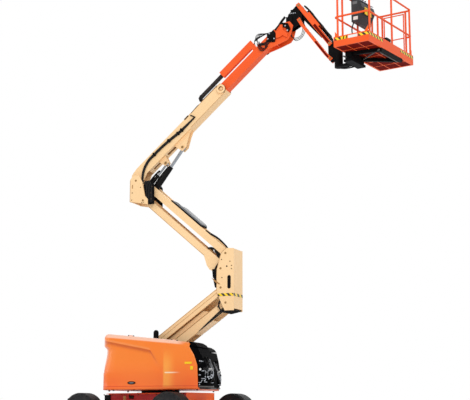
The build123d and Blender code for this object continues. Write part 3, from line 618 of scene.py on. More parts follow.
def hood_depth(x, z, front):
    """How far the skin is pressed in on the side: the swept panel, the turned front, the creases."""
    brow = 1760 - BROW_FALL * (x + 578)
    behind = 238 + (1598 - min(z, 1598)) * PANEL_LEAN
    panel = 34 * ease(brow - z, 0, 26) * ease(behind - x, -10, 60) * ease(z, 1180, 1460)
    shoulder = min(520, front - 420)
    dip = ease(x, shoulder - 50, shoulder) * (1 - ease(x, shoulder, shoulder + 150))
    turn = 0.016 * max(x - shoulder - 60, 0) - 8 * dip
    crease = 9 * ease(1194 - z, 0, 14) * ease(z, 900, 1180)
    crease *= ease(x, shoulder + 20, shoulder + 60) * (1 - ease(x, shoulder + 180, shoulder + 330))
    ledge = 13 * ease(z, 1196, 1210) * (1 - ease(x, -640, -480))
    skirt = 5 * ease(z, 962, 972) - 5
    return panel + turn + crease + ledge + skirt


def hood_rows(less):
    """Rows of points from the skirt up the side, over the rounded shoulder and across the roof."""
    rows = []
    square = 500 - less  # ahead of this the front edge leans back
    for t in HOOD_HEIGHTS:
        row = []
        for x, y in hood_stations():
            z = SKIRT + (ridge(x) - SKIRT) * t
            if x > square:
                x = square + (x - square) * (front_edge(z) - less - square) / (HOOD_FRONT - square)
            y += hood_depth(x, z, HOOD_FRONT - less) * ease(-y, 700, 960)
            lean = 62 * ease(z, 1204, 1600) * (1 - ease(z, 1630, 1705)) + 8 * ease(z, 1196, 1210)
            row.append(Vector((x + lean * (1 - ease(x, -640, -380)), y, z)))
        rows.append(row)
    top = rows[-1]
    for t in (0.12, 0.3, 0.55, 0.8, 1.0):  # the rounded shoulder
        inward = (1 - cos(t * pi / 2)) * 96 + t * 12
        rows.append([Vector((p.x + inward * (1 - ease(p.x, -950, -600)) * 0.9,
                             min(p.y + inward * ease(-p.y, 380, 900), -HINGE_Y), p.z + 80 * sin(t * pi / 2)))
                     for p in top])
    edge = rows[-1]
    for t in (0.33, 0.66, 1.0):  # the roof
        rows.append([Vector((p.x, min(p.y + (-400 - p.y) * t, -HINGE_Y), 1843 + 4 * t - p.x * ROOF_FALL))
                     for p in edge])
    return rows


def build_hood(side, name, less):
    """One hood: a pressed skin 8 mm thick, from the skirt up over the shoulder to the hinge line."""
    m = Maker(UPPER)
    grid = [[m.bm.verts.new((p.x, p.y * -side, p.z)) for p in row] for row in hood_rows(less)]
    faces = []
    for a, b in zip(grid, grid[1:]):
        for k in range(len(a) - 1):
            quad = [a[k], a[k + 1], b[k + 1], b[k]]
            faces.append(m.bm.faces.new(quad if side < 0 else quad[::-1]))
    m._paint(faces, "hood", True)
    bmesh.ops.remove_doubles(m.bm, verts=m.bm.verts[:], dist=0.6)
    bmesh.ops.recalc_face_normals(m.bm, faces=m.bm.faces[:])
    if sum(f.normal.y * f.calc_area() for f in m.bm.faces) * side < 0:
        bmesh.ops.reverse_faces(m.bm, faces=m.bm.faces[:])
    bmesh.ops.solidify(m.bm, geom=m.bm.faces[:], thickness=8)
    for face in m.bm.faces:
        face.smooth = True
    for x in (-450, 450):  # the hinge leaves on the roof
        if x < 925 - less:
            m.rod(*((end, side * 383, 1855 - end * ROOF_FALL) for end in (x - 40, x + 40)), 14, "hood", 16, 2)
    m.make("hood_skin_" + name, "hood_" + name, ("hood_" + name,))


def make_finishes(look):
    cream, orange, fly, hood = look.cream, look.orange, look.fly, look.hood
    FINISH.update(
        cream=paint("cream enamel", cream, "#efc894", 0.45, 0.06, dust=0.04),
        # cream in painted shade, for fold lines, seams and plates that sit in shade
        cream_edge=paint("cream edge in shade", "#b98a55", "#8d6238", 0.5, 0.05),
        orange=paint("orange enamel", orange, "#ec560f", 0.42, 0.05),
        fly=paint("fly section enamel", fly, "#ec5219", 0.4, 0.06),
        hood=hood_paint("moulded hood", hood, "#f06725"),
        chassis=frame_paint("chassis enamel", orange, "#b0140c", 438.0),
        # dark red that stands for orange paint in shade: painted shade
        belly=steel_black("shaded red panel", "#6a0f07", 0.7, 0.15, 0.03),
        black=steel_black("black fittings", "#0b0a0b", 0.55, 0.2, 0.06),
        engine=steel_black("engine bay", "#050506", 0.75, 0.06, 0.03),
        grey=moulded("grey moulding", "#6c6e70", 0.6),
        pale=moulded("pale moulding", "#c9d3dc", 0.4),
        console=moulded("console moulding", "#15181c", 0.5),
        tank=steel_black("tank paint", "#050506", 0.75, 0.06, 0.03),
        cylinder=steel_black("cylinder paint", "#0c0b0c", 0.4, 0.15),
        chrome=chrome("chrome rod"),
        bright=steel_black("bare plated steel", "#b9bdc2", 0.35, 0.3),
        dull=steel_black("dull plated steel", "#5d5a57", 0.45, 0.4),
        hose=rubber("hydraulic hose", "#0b0b0c", "#262422"),
        chain=rubber("energy chain", "#1c1a1a", "#5e4a3f"),
        tyre=rubber("tyre rubber", "#101012", "#3f3c37"),
        rim=paint("wheel enamel", "#efe4d0", "#d6c6a8", 0.4, 0.1),
        bolt=steel_black("bolt heads", "#5d4526", 0.5, 0.3),
        pin=paint("pin caps", "#ad8654", "#76552f", 0.5, 0.05),
        plate=moulded("blank plate", "#e9e7e0", 0.35),
        yellow=paint("yellow enamel", "#f6cf1e", "#e5b310", 0.4, 0.2),
        tape=striped("black and yellow tape", "#15140f", "#f7cf12", look.stripe),
        tape_wide=striped("wide black and yellow tape", "#15140f", "#f7cf12", look.stripe * 1.9),
        deck=hood_paint("deck enamel", hood, "#f06725", HOOD_FRONT),
    )


CAD_FINISH = {
    "frame_orange": "orange", "hood_orange": "hood", "dark_steel": "black", "boom_cream": "cream",
    "fly_orange": "fly", "engine_grey": "engine", "tank_grey": "tank", "cylinder_black": "cylinder",
    "rod_chrome": "chrome", "tyre_rubber": "tyre", "rim_cream": "rim",
}


def finish_frame(_look):
    """Gives every carried-over node the finish of its slot, and deeper ones where the machine has them."""
    own = {"platform_support": "black", "energy_chain": "chain", "control_console": "console",
           "chassis_frame": "chassis", "turntable_deck": "deck", "counterweight": "hood"}
    for name, node in frame["nodes"].items():
        slot = node.data.materials[0].name.split(".")[0]
        node.data.materials.clear()
        node.data.materials.append(FINISH[own.get(name) or CAD_FINISH[slot]])


def span(side, near, far, mid=0.0):
    """From y to y, lowest first, for something between two distances out from the middle on one side."""
    return sorted((mid + side * near, mid + side * far))


def both(y, spots):
    """Places (along, above) on both sides, y out from the middle, each facing outwards."""
    return [((x, side * y, z), (0, side, 0), (1, 0, 0)) for x, z in spots for side in (-1, 1)]


def bolts(name, body, at, spots, size=1.0):
    repeat(name, body, at, spots, hex_bolt, "bolt", size, LOOSE)


def pins(name, body, at, spots, size=1.0):
    repeat(name, body, at, spots, pin_cap, "pin", size, LOOSE)


# ---- chassis and wheels ----
NUT_CIRCLE, BEARING = 78, 430  # radii of the wheel nuts' and the bearing bolts' circles


def build_wheels(look):
    for name in ("front_left", "front_right", "rear_left", "rear_right"):
        hub = pin("wheel_" + name + "_spin")
        side = 1 if "left" in name else -1
        at, body = place(hub, turn=0.0), "wheel_" + name
        low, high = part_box("tyre_" + name)
        radius, half = (high.z - hub.z) / MM, (high.y - low.y) / MM / 2
        spots = []
        for k in range(look.lugs):
            for hand, shift in ((-1, 0.0), (1, 0.5)):
                a = 2 * pi * (k + shift) / look.lugs
                out = Vector((cos(a), 0, sin(a)))
                spots.append((out * (radius - 13), out, Vector((-sin(a), 0, cos(a))) * hand))
        repeat("tread_" + name, body, at, spots, tread_lug, "tyre")
        m = Maker(at)
        for r, w in ((radius - 70, 10), (radius - 150, 8)):
            m.ring((0, side * half, 0), (0, 1, 0), r, 12, w, "tyre", sides=56)
        m.make("sidewall_" + name, body)
        outer = (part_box("rim_" + name)[side > 0].y - hub.y) / MM
        nuts = [((x, outer, z), (0, side, 0), (1, 0, 0)) for x, z in circle(8, NUT_CIRCLE)]
        bolts("wheel_nuts_" + name, body, at, nuts, 1.2)


def build_chassis(_look):
    low, high = (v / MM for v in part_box("chassis_frame"))
    at = place(Vector((0, 0, 0)), turn=0.0)
    mid, rear, front = (low.y + high.y) / 2, low.x, high.x
    m = Maker(at)
    for side in (-1, 1):  # folded lips along the frame's upper edges
        m.block(rear + 180, front - 320, *span(side, 446, 453, mid), 822, 834, "orange", 2)
    m.block(front - 1, front + 4, mid - 150, mid + 150, 560, 720, "orange", 2)
    m.make("chassis_front_plate", "chassis")
    m = Maker(at)
    for side in (-1, 1):
        y = mid + side * 452
        m.block(rear + 140, rear + 285, *span(side, 446, 462, mid), 540, 812, "black", 6)
        for k in range(4):
            m.hose([(rear + 165 + 30 * k, y + side * 8, 800), (rear + 158 + 34 * k, y + side * 14, 700),
                    (rear + 170 + 28 * k, y + side * 10, 560)], 8)
        # a cream plate, in the painted shade of the wall it stands on
        m.block(rear + 590, rear + 660, y - 3, y + 3, 690, 790, "cream_edge", 2)
        m.block(rear + 730, rear + 850, y - 3, y + 3, 735, 795, "black", 3)
        for x in (rear + 755, rear + 790, rear + 825):
            m.rod((x, y, 765), (x, y + side * 9, 765), 9, "bolt", 12, 1)
    m.make("chassis_side_covers", "chassis")
    spots = [((x, mid + side * 450, 812), (0, side, 0), (1, 0, 0))
             for side in (-1, 1) for x in range(int(rear) + 120, int(front) - 60, 210)]
    spots += [((front + 4, mid + y, z), (1, 0, 0), (0, 1, 0)) for y in (-120, 120) for z in (585, 695)]
    bolts("chassis_bolts", "chassis", at, spots)
    ring = [((x, y, 842), (0, 0, 1), (1, 0, 0)) for x, y in circle(28, BEARING)]
    bolts("bearing_bolts", "chassis", CHASSIS, ring, 0.8)


# ---- turntable ----
def build_turntable(_look):
    m = Maker(UPPER)
    for side, front in ((-1, 1130), (1, 720)):
        for x, y in ((-110, 930), (front, 900), (-560, 860), (-880, 400)):
            m.rod((x, side * y, 870), (x, side * y, 902), 16, "black", 14, 3)
    m.make("deck_feet", "turntable")
    sides = ((-1, "right", 0), (1, "left", LEFT_SHORTER))
    for step in (build_latch, build_hood, build_engine_end):
        for side, name, less in sides:
            step(side, name, less)


def build_latch(side, name, less):
    """The oval latch on a hood's side, and two plain patches near its front edge."""
    m = Maker(UPPER)
    for wide, tall, near, far, finish, bevel in ((82, 27, 1002, 1008, "black", 2),
                                                 (50.84, 13.5, 1007, 1010, "grey", 1)):
        oval = [(-125 + wide * c, 1010 + tall * s) for c, s in circle(32)]
        m.slab(oval, *span(side, near, far), finish, bevel)
    for a, b, z0, z1 in ((925, 1062, 1336, 1374), (1034, 1088, 1232, 1296)):
        m.block(a - less, b - less, *span(side, 994, 1002), z0, z1, "yellow", 1)
    m.make("hood_latch_" + name, "hood_" + name)


def build_engine_end(side, name, less):
    """Machinery showing in an open front end: rails, filters, pipes, valve blocks and fittings."""
    m = Maker(UPPER)
    corner = ((1040.0, -984.0), (1290.0, -990.0), (1322.0, -600.0))

    def at(t, z, out):
        """A point just outside the rounded front corner; t runs from the side to the front."""
        x, y = bend(*corner, t)
        dx, dy = (2 * (1 - t) * (b - a) + 2 * t * (c - b) for a, b, c in zip(*corner))
        size = hypot(dx, dy)
        lean = max(z - 1180, 0) * 0.33 * t
        return Vector((x + dy / size * out - less - lean, (y - dx / size * out) * -side, z))

    for z, r, finish in ((934, 13, "dull"), (1236, 8, "engine")):  # the rails that carry the bay
        m.hose([at(0.3 + 0.7 * k / 8, z, 6) for k in range(9)], r, finish, 8, 2)
    for t, z, r, tall in ((0.36, 980, 30, 150), (0.5, 1050, 38, 150), (0.62, 990, 28, 190),
                          (0.76, 1090, 34, 120), (0.92, 980, 24, 150)):
        m.rod(at(t, z, 4), at(t, z + tall, 4), r, "engine", 20, 5)
        m.rod(at(t, z + tall, 4), at(t, z + tall + 16, 4), r * 0.72, "bright", 16, 3)
        m.rod(at(t, z + 20, 4), at(t, z + 30, 4), r + 3, "bright", 20, 2)
    for k in range(9):  # pipes weaving across the bay
        t, z = 0.388 + 0.06 * k, 990 + 37 * ((k * 5) % 7)
        weave = ((0.0, 0, 8), (0.1, 90, 30), (0.16, 40 + 20 * (k % 3), 26), (0.24, 150, 12), (0.2, 260, 4))
        m.hose([at(min(t + dt, 1), z + dz, out) for dt, dz, out in weave], 7 + 2 * (k % 3),
               ("bright", "hose", "grey")[k % 3], 8, 5)
    for k in range(14):  # unions and caps
        t, z = 0.34 + 0.64 * ((k * 0.37) % 1.0), 970 + (k * 139) % 420
        m.rod(at(t, z, 2), at(t, z, 26), 12 + 5 * (k % 3), ("bright", "bright", "plate")[k % 3], 6, 2)
    for k in range(4):
        t, lift = 0.36 + 0.17 * k, k % 2
        m.rod(at(t, 1330 + 28 * lift, 0), at(t + 0.1, 1360 + 24 * lift, 4), 20, "black", 14, 3)
        m.rod(at(t, 1440, 0), at(t + 0.02, 1440, 12), 26, "engine", 20, 3)
    brow = ((992, 1636), (992, 1742), (1050, 1728), (1120, 1690), (1166, 1634))
    m.slab([(x - less, z) for x, z in brow], *span(side, 430, 955), "engine", 12)
    m.make("engine_details_" + name, "turntable")


# ---- tower ----
CHEEK = 235  # the uprights' plates, out from the middle


def edge_lines(m, at_side, n0, n1, s0, s1):
    """Dark fold lines along a boom's upper and lower corners."""
    for side in (-1, 1):
        for n in (n0, n1):
            m.block(s0, s1, *span(side, at_side, at_side + 2), n - 3, n + 3, "cream_edge")


def scored(m, y, lines, radius):
    """Dark seams across an upright's plate, each from (x, z) to (x, z)."""
    for x0, z0, x1, z1 in lines:
        m.rod((x0, y, z0), (x1, y, z1), radius, "cream_edge", 6)


def build_tower(_look):
    reach = (pin("mid_upright_hinge") - pin("tower_raise")).length / MM
    m = Maker(LOWER_BOOM)
    edge_lines(m, 150, -88, 80, 240, reach - 160)
    edge_lines(m, 116, 96, 180, 300, reach - 300)
    for side in (-1, 1):  # hoses gathered along the lower edge near the knee
        for k in range(5):
            m.lay(side * 156, [(reach - 760, -86), (reach - 560, -88 + 6 * k), (reach - 380, -88 + 10 * k),
                               (reach - 200, -86 + 13 * k), (reach - 60, -70 + 11 * k)], 5)
    m.make("lower_boom_lines", "lower_tower_boom")
    bolts("lower_boom_bolts", "lower_tower_boom", LOWER_BOOM,
          both(151, [(reach - 190, 52), (reach - 150, 84), (reach - 90, -30), (180, 30), (260, -40)]))
    m = Maker(LOWER_LINK)
    edge_lines(m, 205, -28, 30, 120, reach - 120)
    m.make("lower_link_lines", "lower_tower_link")
    build_mid_upright()
    build_upper_boom()
    build_upper_upright()
    build_cylinder_hoses("main_lift", 740, 50)
    build_cylinder_hoses("level", 520, 36)


def build_mid_upright():
    """Tape, slot, seams, pins and bolts of the mid upright, and the hoses behind and below it."""
    m = Maker(UPPER)
    for side in (-1, 1):
        y = side * (CHEEK + 1)
        corners = [(1256, y, 2612), (1568, y, 2612), (1568, y, 2664), (1256, y, 2664)]
        m.strip(*(corners if side < 0 else [corners[i] for i in (1, 0, 3, 2)]), 1.5, "tape")
        m.rod((1436, y - 1, 3169), (1436, y + 1, 3169), 15, "black", 24)
        slot = [(1482 + c, (2968 if s >= 0 else 2783) + s) for c, s in circle(24, 34)]
        m.slab(slot, y - 1, y + 2, "black", 1)
        scored(m, y, ((1234, 2712, 1228, 3128), (1240, 3140, 1322, 3424), (1322, 3428, 1424, 3516)), 3)
    m.strip((1576, -234, 2612), (1576, 234, 2612), (1576, 234, 2664), (1576, -234, 2664), 1.5, "tape_wide")
    m.make("mid_upright_marks", "mid_upright")
    m = Maker(UPPER)
    for y0, y1 in ((-186, -96), (96, 186)):
        m.slab([(1118, 3132), (1196, 3138), (1216, 2990), (1134, 2968)], y0, y1, "black", 8)
        m.slab([(1140, 2944), (1226, 2950), (1240, 2792), (1176, 2784)], y0, y1, "black", 8)
    for y in range(-170, -109, 20):
        m.lay(y, [(1310, 3330), (1240, 3240), (1176, 3140), (1160, 2980), (1180, 2860), (1290, 2700)], 12)
    for side in (-1, 1):
        # the cylinder's lug bracket, a cream plate in painted shade
        m.slab([(1128, 2962), (1168, 2944), (1312, 2836), (1276, 2834), (1200, 2880)], *span(side, 236, 239),
               "cream_edge", 1)
    for y in range(-200, 201, 100):
        m.hose([(1300, y, 2560), (1262, y, 2440), (1330, y, 2330), (1450, y * 0.95, 2338),
                (1560, y * 0.9, 2362)], 15)
    m.block(1400, 1560, -212, 212, 2352, 2372, "black", 4)
    m.make("mid_upright_hoses", "mid_upright")
    joints = [flat(pin(name)) for name in ("mid_upright_hinge", "upper_boom_hinge", "upper_link_hinge")]
    pins("mid_upright_pins", "mid_upright", UPPER, both(CHEEK, [*joints, (1312, 2775)]), size=0.7)
    bolts("mid_upright_bolts", "mid_upright", UPPER,
          both(CHEEK, [(1340, 2960), (1530, 3180), (1530, 3120), (1500, 3260), (1330, 3300)]), size=0.8)


def build_upper_boom():
    """The upper boom's fold lines, the guard and hoses on its link, and the hose loops at the knee."""
    m = Maker(UPPER_BOOM)
    edge_lines(m, 118, -38, 96, 140, 1680)
    m.make("upper_boom_lines", "upper_tower_boom")
    m = Maker(UPPER)
    foot, a = flat(pin("upper_link_hinge")), pi + UPPER_ANGLE

    def on_link(*spots):
        """Points given along the link from its front pin and above it."""
        return [(foot[0] + t * cos(a) + n * sin(a), foot[1] + t * sin(a) - n * cos(a)) for t, n in spots]

    m.slab(on_link((766, 60), (1598, 60), (1590, 84), (776, 90)), -150, 150, "black", 3)
    m.slab(on_link((783, 90), (1437, 86), (1396, 108), (1330, 116), (840, 116), (800, 108)), -152, 152,
           "grey", 8)
    run = ((640, 68), (540, 80), (430, 100), (318, 110), (180, 104), (70, 86), (-20, 40))
    for k in range(3):
        m.lay(-132 + 34 * k, on_link(*((t, n - 9 * k) for t, n in run)), 13)
    m.make("upper_link_guard", "upper_tower_link")
    m = Maker(UPPER_BOOM)
    reach = (pin("upper_boom_hinge") - pin("upper_upright_hinge")).length / MM
    for y in range(-84, 85, 42):
        m.lay(y, [(reach - back, n) for back, n in ((520, 96), (470, 150), (400, 178), (320, 150), (240, 110),
                                                    (150, 98))], 17)
    # a cream plate in painted shade under the hose loops
    m.block(reach - 470, reach - 380, -100, 100, 104, 124, "cream_edge", 4)
    m.make("knee_hoses", "upper_tower_boom")


def build_upper_upright():
    """Valve block, hose bundle, pins and marks of the upper upright."""
    m = Maker(UPPER)
    for side in (-1, 1):
        m.slab([(-330, 4700), (-300, 4930), (-150, 4918), (-98, 4840), (-96, 4458), (-235, 4462)],
               *span(side, 181, 215), "black", 6)
        for k in range(4):
            m.hose([(-230 + 34 * k, side * 218, 4490), (-236 + 34 * k, side * 224, 4640),
                    (-250 + 36 * k, side * 220, 4800), (-280 + 30 * k, side * 212, 4925)], 12)
        for x, z in ((-150, 4560), (-150, 4680), (-140, 4800)):
            m.rod((x, side * 212, z), (x, side * 226, z), 17, "bolt", 6, 2)
        y = side * CHEEK
        scored(m, y, ((-598, 4524, -598, 4950), (-330, 4886, -270, 4618), (-596, 4522, -222, 4452)), 3.5)
        # a short upright line of painted shade on the plate
        m.block(-556, -536, y - 1, y + 1, 4786, 4860, "cream_edge", 1)
    m.make("upper_upright_trim", "upper_upright")
    pins("upper_upright_pins", "upper_upright", UPPER,
         both(CHEEK, [flat(pin("upper_upright_hinge")), flat(pin("main_boom_lift"))]), size=0.7)
    bolts("upper_upright_bolts", "upper_upright", UPPER,
          both(CHEEK, [(-372, 4800), (-548, 4700), (-300, 4500), (-340, 4497), (-560, 4560)]), size=0.8)


def build_cylinder_hoses(name, length, wide):
    """The valve and the pair of hoses that a cylinder's barrel carries."""
    slide = Vector(JOINTS[name + "_rod_slide"]["axis"])
    m = Maker(place(pin(name + "_barrel_hinge"), atan2(slide.z, slide.xy.length)))
    m.block(length * 0.35, length * 0.62, -26, 26, wide - 8, wide + 34, "black", 6)
    for side in (-1, 1):
        m.hose([(60, side * 20, wide + 4), (length * 0.3, side * 26, wide + 22),
                (length * 0.62, side * 18, wide + 24), (length * 0.82, side * 20, wide + 12),
                (length - 30, side * 16, wide)], 10)
    m.make(name + "_hoses", name + "_barrel")


# ---- main and fly boom ----
def build_main_boom(_look):
    m = Maker(MAIN_BOOM)
    edge_lines(m, 120, 7, 218, 1500, 2460)
    for side in (-1, 1):
        m.ring((2448, side * 142, 100), (0, 1, 0), 50, 36, 24, "black", 40, 215, 290)
        m.rod((2448, side * 130, 100), (2448, side * 148, 100), 26, "cream", 20, 3)
    # a strip of painted shade across the top near the boom's head
    m.block(2380, 2494, -122, 122, 204, 212, "cream_edge", 2)
    for side in (-1, 1):
        m.block(1506, 1614, *span(side, 96, 124), 206, 236, "bolt", 4)
        m.hose([(1690, side * 121, 214), (1780, side * 124, 222), (1860, side * 123, 226),
                (1915, side * 118, 224)], 5)
        m.hose([(96, side * 100, 216), (24, side * 104, 206), (-22, side * 108, 150),
                (-24, side * 112, 72)], 6)
        m.slab([(1640, 190), (1662, 194), (1702, 92), (1684, 84)], *span(side, 121, 136), "black", 3)
    run = ((1687, 92), (1315, 99), (1100, 125), (844, 151), (600, 158), (421, 152), (243, 88), (95, -34),
           (11, -195))
    for y, part in ((-133, -17), (-139, 0), (-133, 17)):  # three hoses that draw together at the clamp
        m.lay(y, [(s, n + part * min(1.0, (1760 - s) / 420)) for s, n in run], 12)
    for s, n in ((1330, 99), (1230, 106), (1000, 137), (600, 158)):
        m.block(s - 16, s + 16, -154, -119, n - 38, n + 38, "black", 4)
    m.make("main_boom_trim", "main_boom")
    pins("main_boom_pins", "main_boom", MAIN_BOOM, both(80, [(1106, -139), (650, -118)]), size=0.9)
    build_chain()


def build_chain():
    """The energy chain's links: a run above, a run below and the bend between them."""
    y, start, pitch, middle, half = 39, 2080, 74, 323, 52
    links = [((start + pitch * k, y, middle + half), (0, 0, 1), (1, 0, 0)) for k in range(8)]
    links += [((start + pitch * k, y, middle - half), (0, 0, -1), (-1, 0, 0)) for k in range(5)]
    for k in range(4):
        a = pi / 2 + pi * (k + 0.5) / 4
        c, s = cos(a), sin(a)
        links.append(((2040 + half * c, y, middle + half * s), (c, 0, s), (s, 0, -c)))
    repeat("chain_links", "energy_chain", MAIN_BOOM, links, chain_link, "chain")


def build_fly(_look):
    m = Maker(MAIN_BOOM)
    for side in (-1, 1):
        y0, y1 = span(side, 110, 134)
        m.slab([(3817, 236), (3955, 160), (3925, 60), (3812, -12), (3712, 92)], y0, y1, "black", 6)
        m.slab([(4090, 150), (4180, 150), (4240, 60), (4200, -60), (4120, -80), (4150, 30)], y0,
               y1 - 8 * (side > 0), "black", 5)
        m.slab([(3880, 20), (3960, 110), (4040, 96), (4110, 160), (4150, 120), (4085, 40), (4100, -90),
                (4040, -150), (4010, -40), (3930, -20)], *span(side, 134, 142), "fly", 3)
        for s, n in ((3760, 130), (3850, 190), (3850, 40), (4170, 60), (4140, -40)):
            m.rod((s, side * 132, n), (s, side * 146, n), 15, "bright", 6, 2)
        # the middle hose of the three takes the dark red of painted shade
        for k, finish in enumerate(("hose", "belly", "hose")):
            m.hose([(3548 + 26 * k, side * 112, 240), (3508 + 26 * k, side * 124, 120),
                    (3520 + 30 * k, side * 128, 50), (3580 + 30 * k, side * 126, 30),
                    (3650 + 26 * k, side * 120, 90), (3720 + 20 * k, side * 118, 140)], 9, finish)
    m.make("nose_brackets", "fly_boom")
    m = Maker(MAIN_BOOM)
    for k in range(8):  # the loose bundle over the fly's end
        y = -74 + 21 * k
        m.hose([(3486, y, 290 + 6 * k), (3560, y * 0.8, 330 + 12 * k), (3672, y, 300 + 14 * k),
                (3800, y * 0.9, 262 + 10 * k), (3920, y, 205 + 6 * k), (4060, y * 0.7, 215),
                (4180, y * 0.6, 245), (4290, y * 0.5, 260)], 5, sides=7)
    for k in range(4):
        y = -86 - 7 * k
        m.hose([(3560, y, 205), (3600, y, 300 + 16 * k), (3690, y, 330 + 12 * k), (3790, y, 270),
                (3880, -90, 200)], 5, sides=7)
    for k in range(3):
        y = -108 - 6 * k
        m.hose([(3500, -60, 210), (3580, y, 150 + 22 * k), (3700, y - 6, 60 + 26 * k),
                (3840, y, 130 + 22 * k), (3960, -90, 200)], 9, sides=7)
    m.make("fly_hoses", "fly_boom")


# ---- jib and platform ----
def build_jib(_look):
    reach = (pin("jib_head_hinge") - pin("jib_raise")).length / MM
    m = Maker(JIB_UP)
    # side faces: fly orange where lit, then the dark red of painted shade on the far part
    for side in (-1, 1):
        m.block(-20, 520, *span(side, 122, 125), -34, 34, "fly", 1)
        m.block(520, reach - 20, *span(side, 122, 124), -30, 22, "belly", 1)
    m.make("jib_upper_faces", "jib_upper_link")
    m = Maker(JIB_UP)
    for y in range(-58, 93, 30):
        m.hose([(60, y, 78), (160, y, 96), (420, y + 4, 95), (700, y - 4, 96), (880, y, 88),
                (960, y * 0.8, 62)], 14)
    for x in (230, 560, 830):
        m.block(x - 16, x + 16, -80, 124, 76, 114, "black", 4)
    m.block(110, 900, 92, 122, 46, 92, "black", 4)
    m.make("jib_hoses", "jib_upper_link")
    m = Maker(place(pin("knuckle_level")))
    for k in range(3):
        y = -70 + 50 * k
        m.hose([(-20, y, -70), (20 + 10 * k, y - 2, -190 - 12 * k), (110, y, -250 - 10 * k),
                (220, y + 4, -215), (262 + 8 * k, y + 10, -90), (240, -40 + 40 * k, 20)], 6)
    m.block(-60, 60, -100, -82, 60, 180, "black", 5)
    m.block(20, 150, -60, 60, 230, 330, "black", 8)
    for x in (20, 54, 88, 122):
        m.rod((x, -64, 250), (x, -84, 250), 11, "bright", 6, 2)
    m.make("knuckle_hoses", "jib_knuckle")
    m = Maker(JIB_LOW)
    # side faces: fly orange where lit, then the dark red of painted shade on the far part
    for side in (-1, 1):
        m.block(60, 560, *span(side, 98, 100.5), -32, 4, "fly", 1)
        m.block(560, reach - 40, *span(side, 98, 100.5), -40, -4, "belly", 1)
    m.make("jib_lower_faces", "jib_lower_link")
    pins("jib_upper_pins", "jib_upper_link", JIB_UP, both(126, [(0, 0), (reach, 0)]), 0.8)
    pins("jib_lower_pins", "jib_lower_link", JIB_LOW, both(100, [(0, 0), (reach, 0)]), 0.8)


TOE_BOARD = 190  # height of the board round the platform's floor


def build_platform(_look):
    (x0, y0, z0), (x1, y1, _) = (PLATFORM.inverted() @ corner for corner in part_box("platform_floor"))
    toe = z0 + TOE_BOARD
    m = Maker(PLATFORM)

    def tape(xa, ya, xb, yb, finish, lean=0, thick=1.2):
        """A band on the toe board from one plan point to another."""
        bottom, top = toe - 74, toe - 22
        m.strip((xa, ya, bottom), (xb, yb, bottom), (xb + lean, yb, top), (xa + lean, ya, top), thick, finish)

    for start, end, finish in ((20, 150, "tape"), (150, 285, "yellow"), (300, 490, "plate"),
                               (510, 716, "tape")):
        tape(x0 + start, y0, x0 + end, y0, finish)
        tape(x0 + end, y1, x0 + start, y1, finish)
    for x in (190, 250):
        tape(x0 + x, y0 - 1.2, x0 + x + 22, y0 - 1.2, "black", 12, 0.8)
    for x, a, b in ((x1, y0, y0 + 560), (x1, y1 - 560, y1), (x0, y1, y1 - 300), (x0, y0 + 300, y0)):
        tape(x, a, x, b, "tape")
    m.make("toe_board_tape", "platform")
    m = Maker(PLATFORM)
    for x, out_x in ((x0 + 19, 75), (x1 - 19, -75)):  # gussets at the corner posts
        for y in (y0 + 19, y1 - 19):
            m.slab([(x, toe + 4), (x + out_x, toe + 4), (x, toe + 105)], y - 3, y + 3, "orange", 1)
    m.block(x1 - 150, x1 - 8, y0 + 740, y0 + 900, toe - 40, toe + 70, "black", 8)
    m.make("platform_fittings", "platform")
    build_console(toe)
    m = Maker(PLATFORM)
    # a thin dark red sheet of painted shade under the floor
    m.block(x0 + 8, x1 - 8, y0 + 8, y1 - 8, z0 + 6, z0 + 9, "belly")
    m.make("platform_belly", "platform")
    m = Maker(PLATFORM)
    m.rod((x0 + 85, y0 + 900, -40), (x1 - 40, y0 + 480, -40), 14, "dull", 14, 3)
    m.rod((x1 - 60, y0 + 560, -70), (x1 - 60, y0 + 1250, -70), 12, "dull", 14, 3)
    m.rod((x0 + 40, y0 + 300, -100), (x0 + 40, y0 + 860, -100), 16, "dull", 14, 3)
    m.hose([(20, 20, -150), (60, -60, -190), (140, 0, -210), (200, 120, -180), (260, 240, -120)], 11)
    m.hose([(-20, 20, -150), (30, -90, -215), (150, -40, -235), (240, 100, -190), (300, 260, -110)], 11)
    m.make("platform_underside", "platform")


def build_console(toe):
    """The console's sloping panel, levers, plates and its cable down to the toe board."""
    low, high = (PLATFORM.inverted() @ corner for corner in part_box("control_console"))
    mid = (low.y + high.y) / 2
    m = Maker(PLATFORM)
    m.slab([(low.x + 6, high.z - 6), (high.x - 30, high.z - 92), (high.x - 24, high.z - 84),
            (low.x + 12, high.z + 3)], low.y + 20, high.y - 20, "pale", 3)
    for k in range(5):
        y = low.y + 80 + k * (high.y - low.y - 160) / 4
        m.rod((low.x + 70, y, high.z - 30), (low.x + 78, y, high.z + 34), 9, "black", 12, 3)
        m.rod((low.x + 78, y, high.z + 28), (low.x + 80, y, high.z + 50), 15, "black", 14, 4)
    for y in (low.y - 2, high.y - 1):
        m.block(low.x + 50, high.x - 100, y, y + 3, high.z - 150, high.z - 96, "grey", 1)
        m.block(low.x + 60, high.x - 90, y - 1, y + 4, low.z + 30, low.z + 96, "plate", 1)
    for y in (mid - 150, mid):
        m.block(high.x - 8, high.x - 1, y, y + 110, low.z + 150, low.z + 290, "yellow", 1)
    m.hose([(low.x + 40, low.y + 60, low.z + 20), (low.x + 10, low.y + 30, low.z - 140),
            (low.x + 30, low.y + 60, toe + 120), (low.x + 90, low.y + 90, toe - 20)], 12)
    m.make("console_fittings", "platform")


